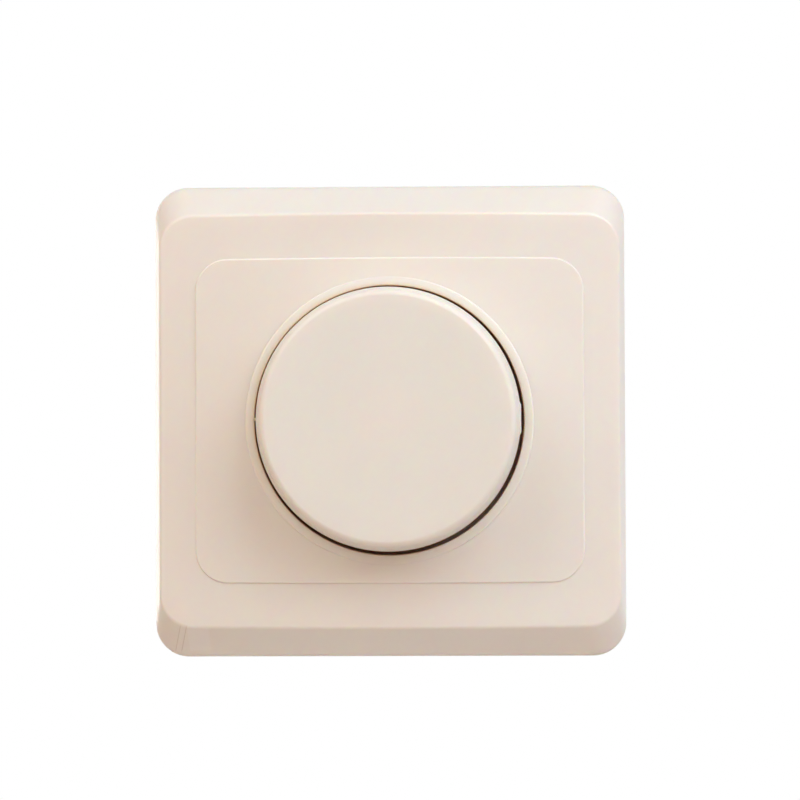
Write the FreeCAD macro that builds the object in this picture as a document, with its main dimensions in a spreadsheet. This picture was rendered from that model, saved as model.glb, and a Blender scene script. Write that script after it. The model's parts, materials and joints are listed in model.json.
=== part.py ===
import FreeCAD, Part
import math
import os
import re
import Sketcher

# A push-and-turn rotary dimmer for a 60 mm wall box, with a square cover plate and a round knob.
# X runs to the right along the wall, Z is up and the room is on the -Y side. The origin is on the
# wall surface, midway between the two box screws. "Height" always means height off the wall
# towards the room, which is -Y, so what lies inside the wall box has a negative height.

SIZES = {
    # cover plate
    "plate_size": 81,
    "plate_corner": 5.75,
    "plate_wall": 2,
    "rim_tall": 1.2,
    "face_width": 78.1,
    "face_tall": 69.7,
    "face_corner": 5.6,
    "face_crest": 10,
    "face_curve": 230,
    "panel_width": 65.5,
    "panel_tall": 54.5,
    "panel_corner": 5.4,
    "panel_raise": 0.28,
    "well_radius": 22.6,
    "well_wall": 1.5,
    "well_floor": 3,
    "well_floor_thick": 1.6,
    "collar_top": 10.62,
    "collar_shoulder": 23.4,
    "collar_shoulder_top": 10.4,
    "collar_side": 24.1,
    "collar_side_top": 9.6,
    "collar_foot": 24.35,
    "cover_play": 0.2,
    "rib_thick": 1.2,
    "rib_low": 4.5,
    # knob
    "knob_radius": 22.15,
    "knob_face_radius": 20.75,
    "knob_face": 21,
    "knob_waist": 10.8,
    "knob_skirt": 6.8,
    "knob_wall": 1.5,
    "knob_edge_round": 0.8,
    "hub_radius": 5.5,
    "hub_end": 10.5,
    "knob_ribs": 6,
    "knob_rib_low": 15,
    "clip_low": 12,
    "clip_tall": 3,
    "clip_thick": 0.5,
    # shaft, bush and nuts
    "shaft_radius": 3,
    "shaft_top": 18,
    "shaft_end": -9.2,
    "shaft_flat": 2.4,
    "slit_deep": 6,
    "slit_half": 0.4,
    "bush_radius": 5,
    "bush_top": 8.5,
    "bush_flange": 8,
    "bush_flange_thick": 1.2,
    "nut_flats": 14,
    "nut_thick": 2.5,
    "washer_radius": 9,
    "washer_thick": 0.5,
    "fit": 0.05,
    # potentiometer and push switch
    "pot_radius": 8.5,
    "pot_back": -7.2,
    "pot_wall": 1,
    "wiper_radius": 6,
    "wiper_low": -4.4,
    "wiper_thick": 1.4,
    "lug_half": 1.1,
    "stop_half": 3.2,
    "stop_gap": 0.4,
    "track_radius": 7,
    "track_wide": 2.6,
    "track_thick": 0.5,
    "switch_wide": 15,
    "switch_tall": 13,
    "switch_back": -16,
    "switch_wall": 1.1,
    "plunger_size": 7.4,
    "plunger_thick": 2.4,
    "push_travel": 1.5,
    "stem_radius": 1.2,
    "stem_length": 1.5,
    "spring_radius": 2.2,
    "spring_wire": 0.15,
    "blade_thick": 0.4,
    "blade_reach": 1.4,
    "tab_thick": 0.5,
    "tab_tall": 2,
    # support frame and its screws
    "frame_size": 71,
    "frame_corner": 6,
    "frame_thick": 1.2,
    "box_screw_pitch": 60,
    "slot_radius": 1.9,
    "slot_run": 4,
    "head_tall": 1.5,
    "frame_screw_x": 16.5,
    "frame_screw_z": -12.5,
    "frame_screw_radius": 1.25,
    "frame_screw_head": 2.3,
    "frame_screw_length": 9,
    "driver_slot_half": 0.35,
    "stiffener_thick": 1,
    "stiffener_half": 20,
    # base moulding
    "base_size": 45,
    "base_corner": 11,
    "base_depth": 22,
    "base_wall": 1.8,
    "recess_half_width": 13,
    "recess_low": 1,
    "recess_high": 14,
    "recess_depth": 0.5,
    "ejector_spread": 15,
    "ejector_radius": 1.6,
    "ejector_depth": 0.2,
    "boss_radius": 2.4,
    "wire_hole": 1.5,
    "wire_z": -11.15,
    "terminal_wall_half": 0.6,
    "back_round": 0.8,
    # terminals
    "terminal_pitch": 9,
    "cage_half": 3.3,
    "cage_wall": 0.9,
    "cage_low": -16.6,
    "cage_floor": 1.4,
    "cage_high": -8.9,
    "cage_roof": 1,
    "cage_front": -8,
    "cage_back": -15.5,
    "bar_low": -13.2,
    "bar_thick": 0.8,
    "bar_half": 2,
    "clamp_screw_radius": 1.5,
    "clamp_head_radius": 2.6,
    "clamp_head_low": -20.6,
    "clamp_head_tall": 1.4,
    # spreading claws
    "claw_inner": 23,
    "claw_thick": 1.2,
    "claw_foot_top": -2,
    "claw_foot_thick": 1.4,
    "claw_foot_end": 28.2,
    "claw_tail": -18,
    "claw_bend": 2.1,
    "claw_low": 4.5,
    "claw_wide": 5,
    "claw_screw_x": 25.7,
    "claw_screw_radius": 1.2,
    "claw_screw_head": 2.4,
    "claw_screw_length": 11,
    "claw_way_half": 1.4,
    "claw_fork_half": 1.5,
    "claw_teeth_half": 0.9,
    "claw_edge": 0.8,
    # circuit board and what stands on it
    "board_front": -16,
    "board_thick": 1.6,
    "board_half": 20,
    "board_low": -8.3,
    "board_corner": 8.5,
    "triac_left": 9,
    "triac_wide": 10,
    "triac_low": 0.2,
    "triac_tall": 15.5,
    "triac_tab_thick": 1.3,
    "triac_body_thick": 3,
    "triac_body_short": 6.3,
    "triac_leg_pitch": 2.54,
    "triac_leg_half": 0.35,
    "triac_leg_thick": 0.5,
    "mica_thick": 0.15,
    "triac_hole_down": 2.8,
    "triac_screw_radius": 1.5,
    "triac_screw_head": 2.6,
    "triac_screw_length": 6,
    "triac_nut_point": 3,
    "triac_nut_flat": 2.6,
    "triac_nut_thick": 2.4,
    "choke_x": -14.6,
    "choke_z": 1.4,
    "choke_height": -8.6,
    "choke_radius": 6,
    "choke_hole": 3,
    "choke_thick": 4.4,
    "choke_wire": 0.45,
    "choke_turns": 15,
    "choke_sweep": 300,
    "fuse_left": -14,
    "fuse_length": 20,
    "fuse_radius": 2.5,
    "fuse_z": 17,
    "fuse_height": -7,
    "fuse_cap": 5,
    "fuse_wall": 0.3,
    "fuse_end": 1,
    "fuse_clip_wide": 3,
    "fuse_clip_thick": 0.5,
    "suppressor_left": 9.8,
    "suppressor_right": 19.6,
    "suppressor_front": -5,
    "suppressor_low": -8,
    "suppressor_high": -2.4,
    "timing_left": -8.8,
    "timing_right": -2.2,
    "timing_front": -9.5,
    "timing_low": 9.8,
    "timing_high": 12.2,
    "resistor_radius": 1.1,
    "resistor_length": 6,
    "resistor_z": 10.2,
    "resistor_pitch": 2.6,
    "diode_radius": 0.9,
    "diode_length": 3.8,
    "diode_left": -17,
    "diode_z": -7.2,
    "lead_gap": 0.05,
}

doc = FreeCAD.newDocument("RotaryDimmer")
sheet = doc.addObject("Spreadsheet::Sheet", "Sizes")
for row, (alias, number) in enumerate(SIZES.items(), 1):
    sheet.set(f"A{row}", alias)
    sheet.set(f"B{row}", str(number))
    sheet.setAlias(f"B{row}", alias)
doc.recompute()

NODES = []


# ---- formulas and sketches ----

def formula(text):
    """A formula in the sheet's aliases, such as plate_size / 2, as an expression on the sheet."""
    def with_sheet(word):
        return "Sizes." + word[0] if word[0] in SIZES else word[0]
    return re.sub(r"[a-z][a-z_0-9]*", with_sheet, str(text))


def bind(thing, prop, text):
    """Ties one property of a feature to a formula."""
    thing.setExpression(prop, formula(text))


def number(text):
    """What a formula comes to now, in millimetres."""
    return float(sheet.evalExpression(formula(text)))


def node(thing, label):
    """Names a finished sub-part and puts it on the list of those to write."""
    thing.Label = label
    NODES.append(thing)
    return thing


def place(thing, x=None, height=None, z=None, axis=None, angle=0):
    """Turns a sub-part about an axis and then moves its origin to x, height, z."""
    if axis:
        thing.Placement = FreeCAD.Placement(FreeCAD.Vector(), FreeCAD.Rotation(FreeCAD.Vector(*axis), angle))
    if x is not None:
        bind(thing, "Placement.Base.x", x)
    if height is not None:
        bind(thing, "Placement.Base.y", f"-({height})")
    if z is not None:
        bind(thing, "Placement.Base.z", z)
    return thing


def new_body(label):
    return node(doc.addObject("PartDesign::Body", label), label)


def new_sketch(body, name, role, lift="0"):
    """A sketch on one of the body's own origin planes, lifted along the plane's normal.

    On the XZ plane the sketch's axes are X and Z and the lift is a height towards the room.
    """
    sketch = body.newObject("Sketcher::SketchObject", name)
    plane = next(p for p in body.Origin.OriginFeatures if p.Role == role)
    sketch.AttachmentSupport = [(plane, "")]
    sketch.MapMode = "FlatFace"
    bind(sketch, "AttachmentOffset.Base.z", lift)
    return sketch


def fix_point(sketch, geometry, end, across, up):
    """Ties one point of a sketch to two formulas."""
    for kind, axis_line, text in (("DistanceX", -2, across), ("DistanceY", -1, up)):
        if number(text) == 0:
            sketch.addConstraint(Sketcher.Constraint("PointOnObject", geometry, end, axis_line))
        else:
            held = Sketcher.Constraint(kind, -1, 1, geometry, end, number(text))
            bind(sketch, f"Constraints[{sketch.addConstraint(held)}]", text)


def add_outline(sketch, corners):
    """A closed run of straight lines through corners given as pairs of formulas."""
    points = [FreeCAD.Vector(number(across), number(up), 0) for across, up in corners]
    lines = []
    for start, end in zip(points, points[1:] + points[:1]):
        lines.append(sketch.addGeometry(Part.LineSegment(start, end)))
    for line, following in zip(lines, lines[1:] + lines[:1]):
        sketch.addConstraint(Sketcher.Constraint("Coincident", line, 2, following, 1))
    for line, (across, up) in zip(lines, corners):
        fix_point(sketch, line, 1, across, up)


def add_rectangle(sketch, left, right, low, high):
    add_outline(sketch, [(left, low), (right, low), (right, high), (left, high)])


def add_circle(sketch, across, up, radius):
    centre = FreeCAD.Vector(number(across), number(up), 0)
    ring = sketch.addGeometry(Part.Circle(centre, FreeCAD.Vector(0, 0, 1), number(radius)))
    held = sketch.addConstraint(Sketcher.Constraint("Radius", ring, number(radius)))
    bind(sketch, f"Constraints[{held}]", radius)
    fix_point(sketch, ring, 3, across, up)


def add_slot(sketch, across, up, level):
    """A slot with round ends, level or upright: two half circles and the two lines tangent to them."""
    centre = FreeCAD.Vector(number(across), number(up), 0)
    radius, half_run = number("slot_radius"), number("slot_run / 2")
    run = FreeCAD.Vector(half_run, 0, 0) if level else FreeCAD.Vector(0, half_run, 0)
    side = FreeCAD.Vector(0, -radius, 0) if level else FreeCAD.Vector(radius, 0, 0)
    start = -math.pi / 2 if level else 0
    normal = FreeCAD.Vector(0, 0, 1)
    far_circle = Part.Circle(centre + run, normal, radius)
    near_circle = Part.Circle(centre - run, normal, radius)
    far = sketch.addGeometry(Part.ArcOfCircle(far_circle, start, start + math.pi))
    back = sketch.addGeometry(Part.LineSegment(centre + run - side, centre - run - side))
    near = sketch.addGeometry(Part.ArcOfCircle(near_circle, start + math.pi, start + 2 * math.pi))
    forth = sketch.addGeometry(Part.LineSegment(centre - run + side, centre + run + side))
    for first, second in ((far, back), (back, near), (near, forth), (forth, far)):
        sketch.addConstraint(Sketcher.Constraint("Tangent", first, 2, second, 1))
    size = sketch.addConstraint(Sketcher.Constraint("Radius", far, radius))
    bind(sketch, f"Constraints[{size}]", "slot_radius")
    for arc, sign in ((far, "+"), (near, "-")):
        shift_across, shift_up = (f"{sign} slot_run / 2", "") if level else ("", f"{sign} slot_run / 2")
        fix_point(sketch, arc, 3, f"{across} {shift_across}", f"{up} {shift_up}")


# ---- features ----

def add_feature(body, kind, name, sketch, **lengths):
    feature = body.newObject(f"PartDesign::{kind}", name)
    feature.Profile = sketch
    for prop, text in lengths.items():
        bind(feature, prop, text)
    sketch.Visibility = False
    return feature


def pad(body, name, role, lift, length, draw):
    """Pads what draw puts into a sketch."""
    sketch = new_sketch(body, name + "_sketch", role, lift)
    draw(sketch)
    return add_feature(body, "Pad", name, sketch, Length=length)


def pocket(body, name, role, lift, length, draw, reverse=False):
    """Cuts what draw puts into a sketch, from the sketch back against its plane's normal."""
    sketch = new_sketch(body, name + "_sketch", role, lift)
    draw(sketch)
    feature = add_feature(body, "Pocket", name, sketch, Length=length)
    feature.Reversed = reverse
    doc.recompute()
    before = feature.BaseFeature.Shape.Volume
    if not before - feature.Shape.Volume > 0.001:
        raise RuntimeError(f"{name} cuts nothing from {body.Label}")
    return feature


def turned(label, profile):
    """A body turned about the Y axis from a profile of (radius, height) formulas."""
    body = new_body(label)
    sketch = new_sketch(body, label + "_profile", "XY_Plane")
    add_outline(sketch, [(radius, f"-({height})") for radius, height in profile])
    spin = add_feature(body, "Revolution", label + "_turned", sketch)
    spin.ReferenceAxis = (sketch, ["V_Axis"])
    spin.Angle = 360
    doc.recompute()
    return body


def round_edges(body, name, radius, wanted):
    """Rounds the edges of the body's tip for which wanted(edge) holds."""
    doc.recompute()
    tip = body.Tip
    edges = [f"Edge{i}" for i, edge in enumerate(tip.Shape.Edges, 1) if wanted(edge)]
    fillet = body.newObject("PartDesign::Fillet", name)
    fillet.Base = (tip, edges)
    bind(fillet, "Radius", radius)
    doc.recompute()
    return fillet


def runs_along(edge, x, y, z):
    """True for a straight edge parallel to the given axis."""
    if edge.Curve.TypeId != "Part::GeomLine":
        return False
    return abs(abs(edge.Curve.Direction.dot(FreeCAD.Vector(x, y, z))) - 1) < 1e-6


def block(name, left, right, back, front, low, high):
    """A plain box between two x values, two heights and two z values."""
    box = doc.addObject("Part::Box", name)
    bind(box, "Length", f"({right}) - ({left})")
    bind(box, "Width", f"({front}) - ({back})")
    bind(box, "Height", f"({high}) - ({low})")
    return place(box, left, front, low)


def rod(name, radius, length, x, height, z, axis=(1, 0, 0), angle=90):
    """A round bar from a point along -Y, which is towards the room, or turned to another way."""
    bar = doc.addObject("Part::Cylinder", name)
    bind(bar, "Radius", radius)
    bind(bar, "Height", length)
    return place(bar, x, height, z, axis, angle)


ALONG_X = {"axis": (0, 1, 0), "angle": 90}


def fuse(name, *pieces):
    joined = doc.addObject("Part::MultiFuse", name)
    joined.Shapes = list(pieces)
    return joined


def cut(name, base, *tools):
    taken = tools[0] if len(tools) == 1 else fuse(name + "_tools", *tools)
    result = doc.addObject("Part::Cut", name)
    result.Base = base
    result.Tool = taken
    return result


def group(label, *pieces):
    """Several separate solids in one node."""
    several = doc.addObject("Part::Compound", label)
    several.Links = list(pieces)
    return node(several, label)


# ---- cover plate ----

def on_wall(x, height, z):
    return FreeCAD.Vector(x, -height, z)


def rounded_edges(width, tall, corner, height):
    """The eight edges of a rounded rectangle that lies parallel to the wall, anticlockwise."""
    edges = []
    inner_x, inner_z = width / 2 - corner, tall / 2 - corner
    centres = ((inner_x, inner_z), (-inner_x, inner_z), (-inner_x, -inner_z), (inner_x, -inner_z))
    for turn, (x, z) in enumerate(centres):
        arc = []
        for step in (0, 0.5, 1):
            angle = math.pi / 2 * (turn + step)
            arc.append(on_wall(x + corner * math.cos(angle), height, z + corner * math.sin(angle)))
        edges.append(Part.Arc(*arc).toShape())
    joined = []
    for edge, following in zip(edges, edges[1:] + edges[:1]):
        joined += [edge, Part.LineSegment(edge.Vertexes[-1].Point, following.Vertexes[0].Point).toShape()]
    return joined


def crowned_prism(width, tall, corner, crest, curve, low):
    """A rounded-rectangle prism whose front is part of a cylinder about an upright axis."""
    outline = Part.Wire(rounded_edges(width, tall, corner, low))
    prism = Part.Face(outline).extrude(on_wall(0, crest - low + 1, 0))
    drum = Part.makeCylinder(
        curve, tall + 2, on_wall(0, crest - curve, -tall / 2 - 1), FreeCAD.Vector(0, 0, 1)
    )
    return prism.common(drum)


def dome(base_size, base_corner, rim, width, tall, corner, crest, curve):
    """An upright rim on the wall and a crowned front, joined by sloping ruled sides."""
    prism = crowned_prism(width, tall, corner, crest, curve, 0)
    front = max((f for f in prism.Faces if f.Surface.TypeId == "Part::GeomCylinder"), key=lambda f: f.Area)
    base = rounded_edges(base_size, base_size, base_corner, rim)
    base_face = Part.Face(Part.Wire(base))
    faces = [front, base_face]
    for edge in base:
        middle = edge.valueAt((edge.FirstParameter + edge.LastParameter) / 2)
        direction = math.atan2(middle.z, middle.x)
        faces.append(Part.makeRuledSurface(edge, edge_towards(front, direction)))
    shell = Part.makeShell(faces)
    shell.sewShape(0.001)
    solid = Part.makeSolid(Part.Shell(shell.Faces))
    if solid.Volume < 0:
        solid.reverse()
    return solid.fuse(base_face.extrude(on_wall(0, -rim, 0)))


def edge_towards(face, direction):
    """The edge of a face whose middle lies nearest to a direction, as an angle about Y."""
    def miss(edge):
        middle = edge.valueAt((edge.FirstParameter + edge.LastParameter) / 2)
        off = math.atan2(middle.z, middle.x) - direction
        return abs(math.remainder(off, 2 * math.pi))
    return min(face.Edges, key=miss)


def ring(profile):
    """A solid turned about the Y axis from (radius, height) numbers."""
    wire = Part.makePolygon([on_wall(r, height, 0) for r, height in profile + profile[:1]])
    return Part.Face(wire).revolve(FreeCAD.Vector(), FreeCAD.Vector(0, 1, 0), 360)


def make_cover_plate():
    """The square cover: a crowned hollow shell with a raised panel, and a deep well for the knob.

    Its ruled sides join two outlines that no sketch plane holds, so it is built from surfaces.
    It hangs on the bush with a little play, low and to the right of the shaft.
    """
    size = {alias: number(alias) for alias in SIZES}
    wall = size["plate_wall"]
    crest, curve = size["face_crest"], size["face_curve"]
    outer = dome(
        size["plate_size"],
        size["plate_corner"],
        size["rim_tall"],
        size["face_width"],
        size["face_tall"],
        size["face_corner"],
        crest,
        curve,
    )
    inner = dome(
        size["plate_size"] - 2 * wall,
        size["plate_corner"] - wall,
        size["rim_tall"],
        size["face_width"] - 2 * wall,
        size["face_tall"] - 2 * wall,
        size["face_corner"] - wall,
        crest - wall,
        curve - wall,
    )
    raised = size["panel_raise"]
    panel = crowned_prism(
        size["panel_width"],
        size["panel_tall"],
        size["panel_corner"],
        crest + raised,
        curve + raised,
        size["rib_low"],
    )
    top, floor = size["collar_top"], size["well_floor"]
    bore, tube = size["well_radius"], size["well_radius"] + size["well_wall"]
    collar = ring([
        (bore, top),
        (size["collar_shoulder"], size["collar_shoulder_top"]),
        (size["collar_side"], size["collar_side_top"]),
        (size["collar_foot"], size["rib_low"]),
        (tube, size["rib_low"]),
        (tube, floor),
        (bore, floor),
    ])
    floor_top = floor + size["well_floor_thick"]
    hole = size["bush_radius"] + 3 * size["cover_play"]
    well_floor = ring([(hole, floor), (tube, floor), (tube, floor_top), (hole, floor_top)])
    ribs = []
    for turn in range(4):
        rib = Part.makeBox(
            size["plate_size"],
            crest,
            size["rib_thick"],
            on_wall(0, crest + size["rib_low"], -size["rib_thick"] / 2),
        )
        rib.rotate(FreeCAD.Vector(), FreeCAD.Vector(0, 1, 0), 90 * turn)
        ribs.append(rib.common(inner))
    well = Part.makeCylinder(bore, 2 * crest, FreeCAD.Vector(), FreeCAD.Vector(0, -1, 0))
    shell = outer.fuse(panel).cut(inner)
    shape = shell.fuse(ribs + [collar]).cut(well).fuse(well_floor).removeSplitter()
    cover = doc.addObject("Part::Feature", "cover_plate")
    cover.Shape = shape.Solids[0]
    play = size["cover_play"]
    cover.Placement = FreeCAD.Placement(on_wall(play, 0, -play), FreeCAD.Rotation())
    return node(cover, "cover_plate")


# ---- knob, shaft and bush ----

def make_knob():
    """A hollow cap with a tapered side, a hub on the shaft and stiffening ribs."""
    ceiling = "knob_face - knob_wall"
    knob = turned("knob", [
        ("0", "knob_face"),
        ("knob_face_radius", "knob_face"),
        ("knob_radius", "knob_waist"),
        ("knob_radius", "knob_skirt"),
        ("knob_radius - knob_wall", "knob_skirt"),
        ("knob_radius - knob_wall", "knob_waist"),
        ("knob_face_radius - knob_wall", ceiling),
        ("hub_radius", ceiling),
        ("hub_radius", "hub_end"),
        ("shaft_radius + fit / 2", "hub_end"),
        ("shaft_radius + fit / 2", "shaft_top + fit"),
        ("0", "shaft_top + fit"),
    ])
    face = number("knob_face_radius")
    round_edges(
        knob,
        "knob_front_round",
        "knob_edge_round",
        lambda e: e.Curve.TypeId == "Part::GeomCircle" and abs(e.Curve.Radius - face) < 0.01,
    )
    rib = pad(
        knob,
        "knob_rib",
        "XZ_Plane",
        "knob_rib_low",
        "knob_face - knob_rib_low - knob_wall / 2",
        lambda s: add_rectangle(
            s, "hub_radius - 0.5", "knob_face_radius - 0.6", "-rib_thick / 2", "rib_thick / 2"
        ),
    )
    doc.recompute()
    pattern = knob.newObject("PartDesign::PolarPattern", "knob_ribs_round")
    pattern.Originals = [rib]
    pattern.Axis = (next(a for a in knob.Origin.OriginFeatures if a.Role == "Y_Axis"), [""])
    pattern.Angle = 360
    bind(pattern, "Occurrences", "knob_ribs")
    knob.Tip = pattern


def make_knob_clip():
    """A split spring ring round the knob's hub."""
    clip = turned("knob_clip", [
        ("hub_radius", "clip_low"),
        ("hub_radius + clip_thick", "clip_low"),
        ("hub_radius + clip_thick", "clip_low + clip_tall"),
        ("hub_radius", "clip_low + clip_tall"),
    ])
    pocket(
        clip,
        "clip_gap",
        "XZ_Plane",
        "clip_low + clip_tall",
        "clip_tall",
        lambda s: add_rectangle(s, "-1", "1", "0", "hub_radius * 2"),
    )


def make_shaft():
    """The shaft: flat along its rear for the wiper, and slit at its front to grip the knob."""
    shaft = turned("shaft", [
        ("0", "shaft_end"),
        ("shaft_radius", "shaft_end"),
        ("shaft_radius", "shaft_top"),
        ("0", "shaft_top"),
    ])
    pocket(
        shaft,
        "shaft_flat_cut",
        "XZ_Plane",
        "-bush_flange_thick",
        "-shaft_end",
        lambda s: add_rectangle(s, "shaft_flat", "shaft_radius * 2", "-shaft_radius", "shaft_radius"),
    )
    pocket(
        shaft,
        "shaft_slit",
        "XZ_Plane",
        "shaft_top",
        "slit_deep",
        lambda s: add_rectangle(s, "-shaft_radius * 2", "shaft_radius * 2", "-slit_half", "slit_half"),
    )


def make_bush():
    """The threaded bush with the potentiometer's front flange."""
    turned("threaded_bush", [
        ("shaft_radius + fit", "-bush_flange_thick"),
        ("bush_flange", "-bush_flange_thick"),
        ("bush_flange", "0"),
        ("bush_radius", "0"),
        ("bush_radius", "bush_top - 0.5"),
        ("bush_radius - 0.5", "bush_top"),
        ("shaft_radius + fit", "bush_top"),
    ])


def make_nut(label, low, thick):
    """A hexagon nut on the bush."""
    nut = new_body(label)
    half = "nut_flats / 2"
    point = "nut_flats / 2 * 1.1547"
    corners = [(point, "0"), (f"{point} / 2", half), (f"-{point} / 2", half)]
    corners += [(f"-({across})", f"-({up})") for across, up in corners]
    pad(nut, label + "_blank", "XZ_Plane", low, thick, lambda s: add_outline(s, corners))
    pocket(
        nut,
        label + "_bore",
        "XZ_Plane",
        f"{low} + {thick}",
        thick,
        lambda s: add_circle(s, "0", "0", "bush_radius"),
    )
    round_edges(
        nut,
        label + "_eased",
        "0.3",
        lambda e: e.Curve.TypeId == "Part::GeomLine" and not runs_along(e, 0, 1, 0),
    )


def make_washer():
    low = "well_floor + well_floor_thick"
    turned("cover_washer", [
        ("bush_radius + 2 * fit", low),
        ("washer_radius", low),
        ("washer_radius", f"{low} + washer_thick"),
        ("bush_radius + 2 * fit", f"{low} + washer_thick"),
    ])


# ---- potentiometer and push switch ----

def make_pot_case():
    """The round case of the potentiometer, with the stop that its wiper turns against."""
    case = turned("pot_case", [
        ("shaft_radius + 4 * fit", "pot_back"),
        ("pot_radius", "pot_back"),
        ("pot_radius", "-bush_flange_thick"),
        ("pot_radius - pot_wall", "-bush_flange_thick"),
        ("pot_radius - pot_wall", "pot_back + pot_wall"),
        ("shaft_radius + 4 * fit", "pot_back + pot_wall"),
    ])
    pad(
        case,
        "turn_stop",
        "XZ_Plane",
        "pot_back + pot_wall / 2",
        "-pot_back - pot_wall / 2 - bush_flange_thick",
        lambda s: add_rectangle(
            s, "-stop_half", "stop_half", "-(pot_radius - pot_wall / 2)", "-(wiper_radius + stop_gap)"
        ),
    )


def make_track():
    """The carbon track, a ring on the case's back wall that stops short of the turn stop."""
    track = turned("carbon_track", [
        ("track_radius - track_wide", "pot_back + pot_wall"),
        ("track_radius", "pot_back + pot_wall"),
        ("track_radius", "pot_back + pot_wall + track_thick"),
        ("track_radius - track_wide", "pot_back + pot_wall + track_thick"),
    ])
    pocket(
        track,
        "track_gap",
        "XZ_Plane",
        "pot_back + pot_wall + track_thick",
        "track_thick",
        lambda s: add_rectangle(
            s, "-(stop_half + 4 * fit)", "stop_half + 4 * fit", "-track_radius * 2", "0"
        ),
    )


def make_wiper():
    """The wiper carrier: a disc keyed to the shaft's flat, with a stop lug that starts at the top."""
    wiper = turned("wiper_carrier", [
        ("0", "wiper_low"),
        ("wiper_radius", "wiper_low"),
        ("wiper_radius", "wiper_low + wiper_thick"),
        ("0", "wiper_low + wiper_thick"),
    ])
    pad(
        wiper,
        "stop_lug",
        "XZ_Plane",
        "wiper_low",
        "wiper_thick",
        lambda s: add_rectangle(s, "-lug_half", "lug_half", "wiper_radius - 1", "track_radius + 4 * fit"),
    )
    pad(
        wiper,
        "wiper_finger",
        "XZ_Plane",
        "pot_back + pot_wall + track_thick + fit",
        "wiper_low - pot_back - pot_wall - track_thick",
        lambda s: add_rectangle(s, "-0.5", "0.5", "track_radius - 2.2", "track_radius - 1.2"),
    )
    pocket(wiper, "keyed_bore", "XZ_Plane", "wiper_low + wiper_thick", "wiper_thick", keyed_hole)


def keyed_hole(sketch):
    """A square-sided hole that clears the shaft all round."""
    clear = "shaft_radius + fit"
    add_rectangle(sketch, f"-({clear})", "shaft_flat + fit", f"-({clear})", clear)


def make_switch():
    """The push switch behind the potentiometer: case, plunger, contacts and return spring."""
    half_x, half_z = "switch_wide / 2", "switch_tall / 2"
    case = block("switch_block", f"-{half_x}", half_x, "switch_back", "pot_back", f"-{half_z}", half_z)
    room_x, room_z = f"{half_x} - switch_wall", f"{half_z} - switch_wall"
    room = block(
        "switch_room",
        f"-({room_x})",
        room_x,
        "switch_back + switch_wall",
        "pot_back - switch_wall",
        f"-({room_z})",
        room_z,
    )
    shaft_way = rod(
        "switch_shaft_way",
        "shaft_radius + 4 * fit",
        "switch_wall * 2",
        "0",
        "pot_back - 1.5 * switch_wall",
        "0",
    )
    node(cut("switch_case", case, room, shaft_way), "switch_case")

    plunger_front = "shaft_end - fit"
    plunger_back = f"{plunger_front} - plunger_thick"
    half = "plunger_size / 2"
    head = block("plunger_head", f"-{half}", half, plunger_back, plunger_front, f"-{half}", half)
    stem = rod("plunger_stem", "stem_radius", "stem_length + fit", "0", f"{plunger_back} - stem_length", "0")
    node(fuse("switch_plunger", head, stem), "switch_plunger")

    blade_front = f"{plunger_front} - 1.5 * blade_thick"
    blade_back = f"{blade_front} - blade_thick"
    blade_half = "blade_reach + 2 * fit"
    blade = block(
        "contact_blade",
        half,
        f"{half} + blade_reach",
        blade_back,
        blade_front,
        f"-({blade_half})",
        blade_half,
    )
    node(blade, "contact_blade")
    tabs = []
    for side, low in (("upper", "tab_tall + 4 * fit"), ("lower", "-(2 * tab_tall + 4 * fit)")):
        tab_high = f"{low} + tab_tall"
        tab_back, tab_front = "switch_back + switch_wall", "pot_back - 2 * switch_wall"
        tab = block(
            f"{side}_contact_tab", f"{room_x} - tab_thick", room_x, tab_back, tab_front, low, tab_high
        )
        tabs.append(tab)
    group("fixed_contacts", *tabs)


def make_spring():
    """The return spring round the plunger's stem.

    Each half turn is half a ring, tilted so that it climbs half a pitch across its width and
    meets the next one level.
    """
    half_turns = 6
    back = number("switch_back + switch_wall + spring_wire")
    front = number("shaft_end - fit - plunger_thick - push_travel - spring_wire")
    climb = (front - back) / half_turns
    tilt = math.degrees(math.atan2(climb / 2, number("spring_radius")))
    halves = []
    for index in range(half_turns):
        half = doc.addObject("Part::Torus", f"spring_half_turn_{index + 1}")
        bind(half, "Radius1", f"spring_radius / cos({tilt})")
        bind(half, "Radius2", "spring_wire")
        half.Angle3 = 180
        lay_on_wall = FreeCAD.Rotation(FreeCAD.Vector(1, 0, 0), 90)
        lean = FreeCAD.Rotation(FreeCAD.Vector(0, 0, 1), tilt)
        turn = FreeCAD.Rotation(FreeCAD.Vector(0, 1, 0), 180 * index)
        half.Placement = FreeCAD.Placement(
            on_wall(0, back + climb * (index + 0.5), 0), turn * lean * lay_on_wall
        )
        halves.append(half)
    node(fuse("return_spring", *halves), "return_spring")


# ---- support frame, claws and base ----

CORNERS = ((1, 1), (-1, -1))


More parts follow.
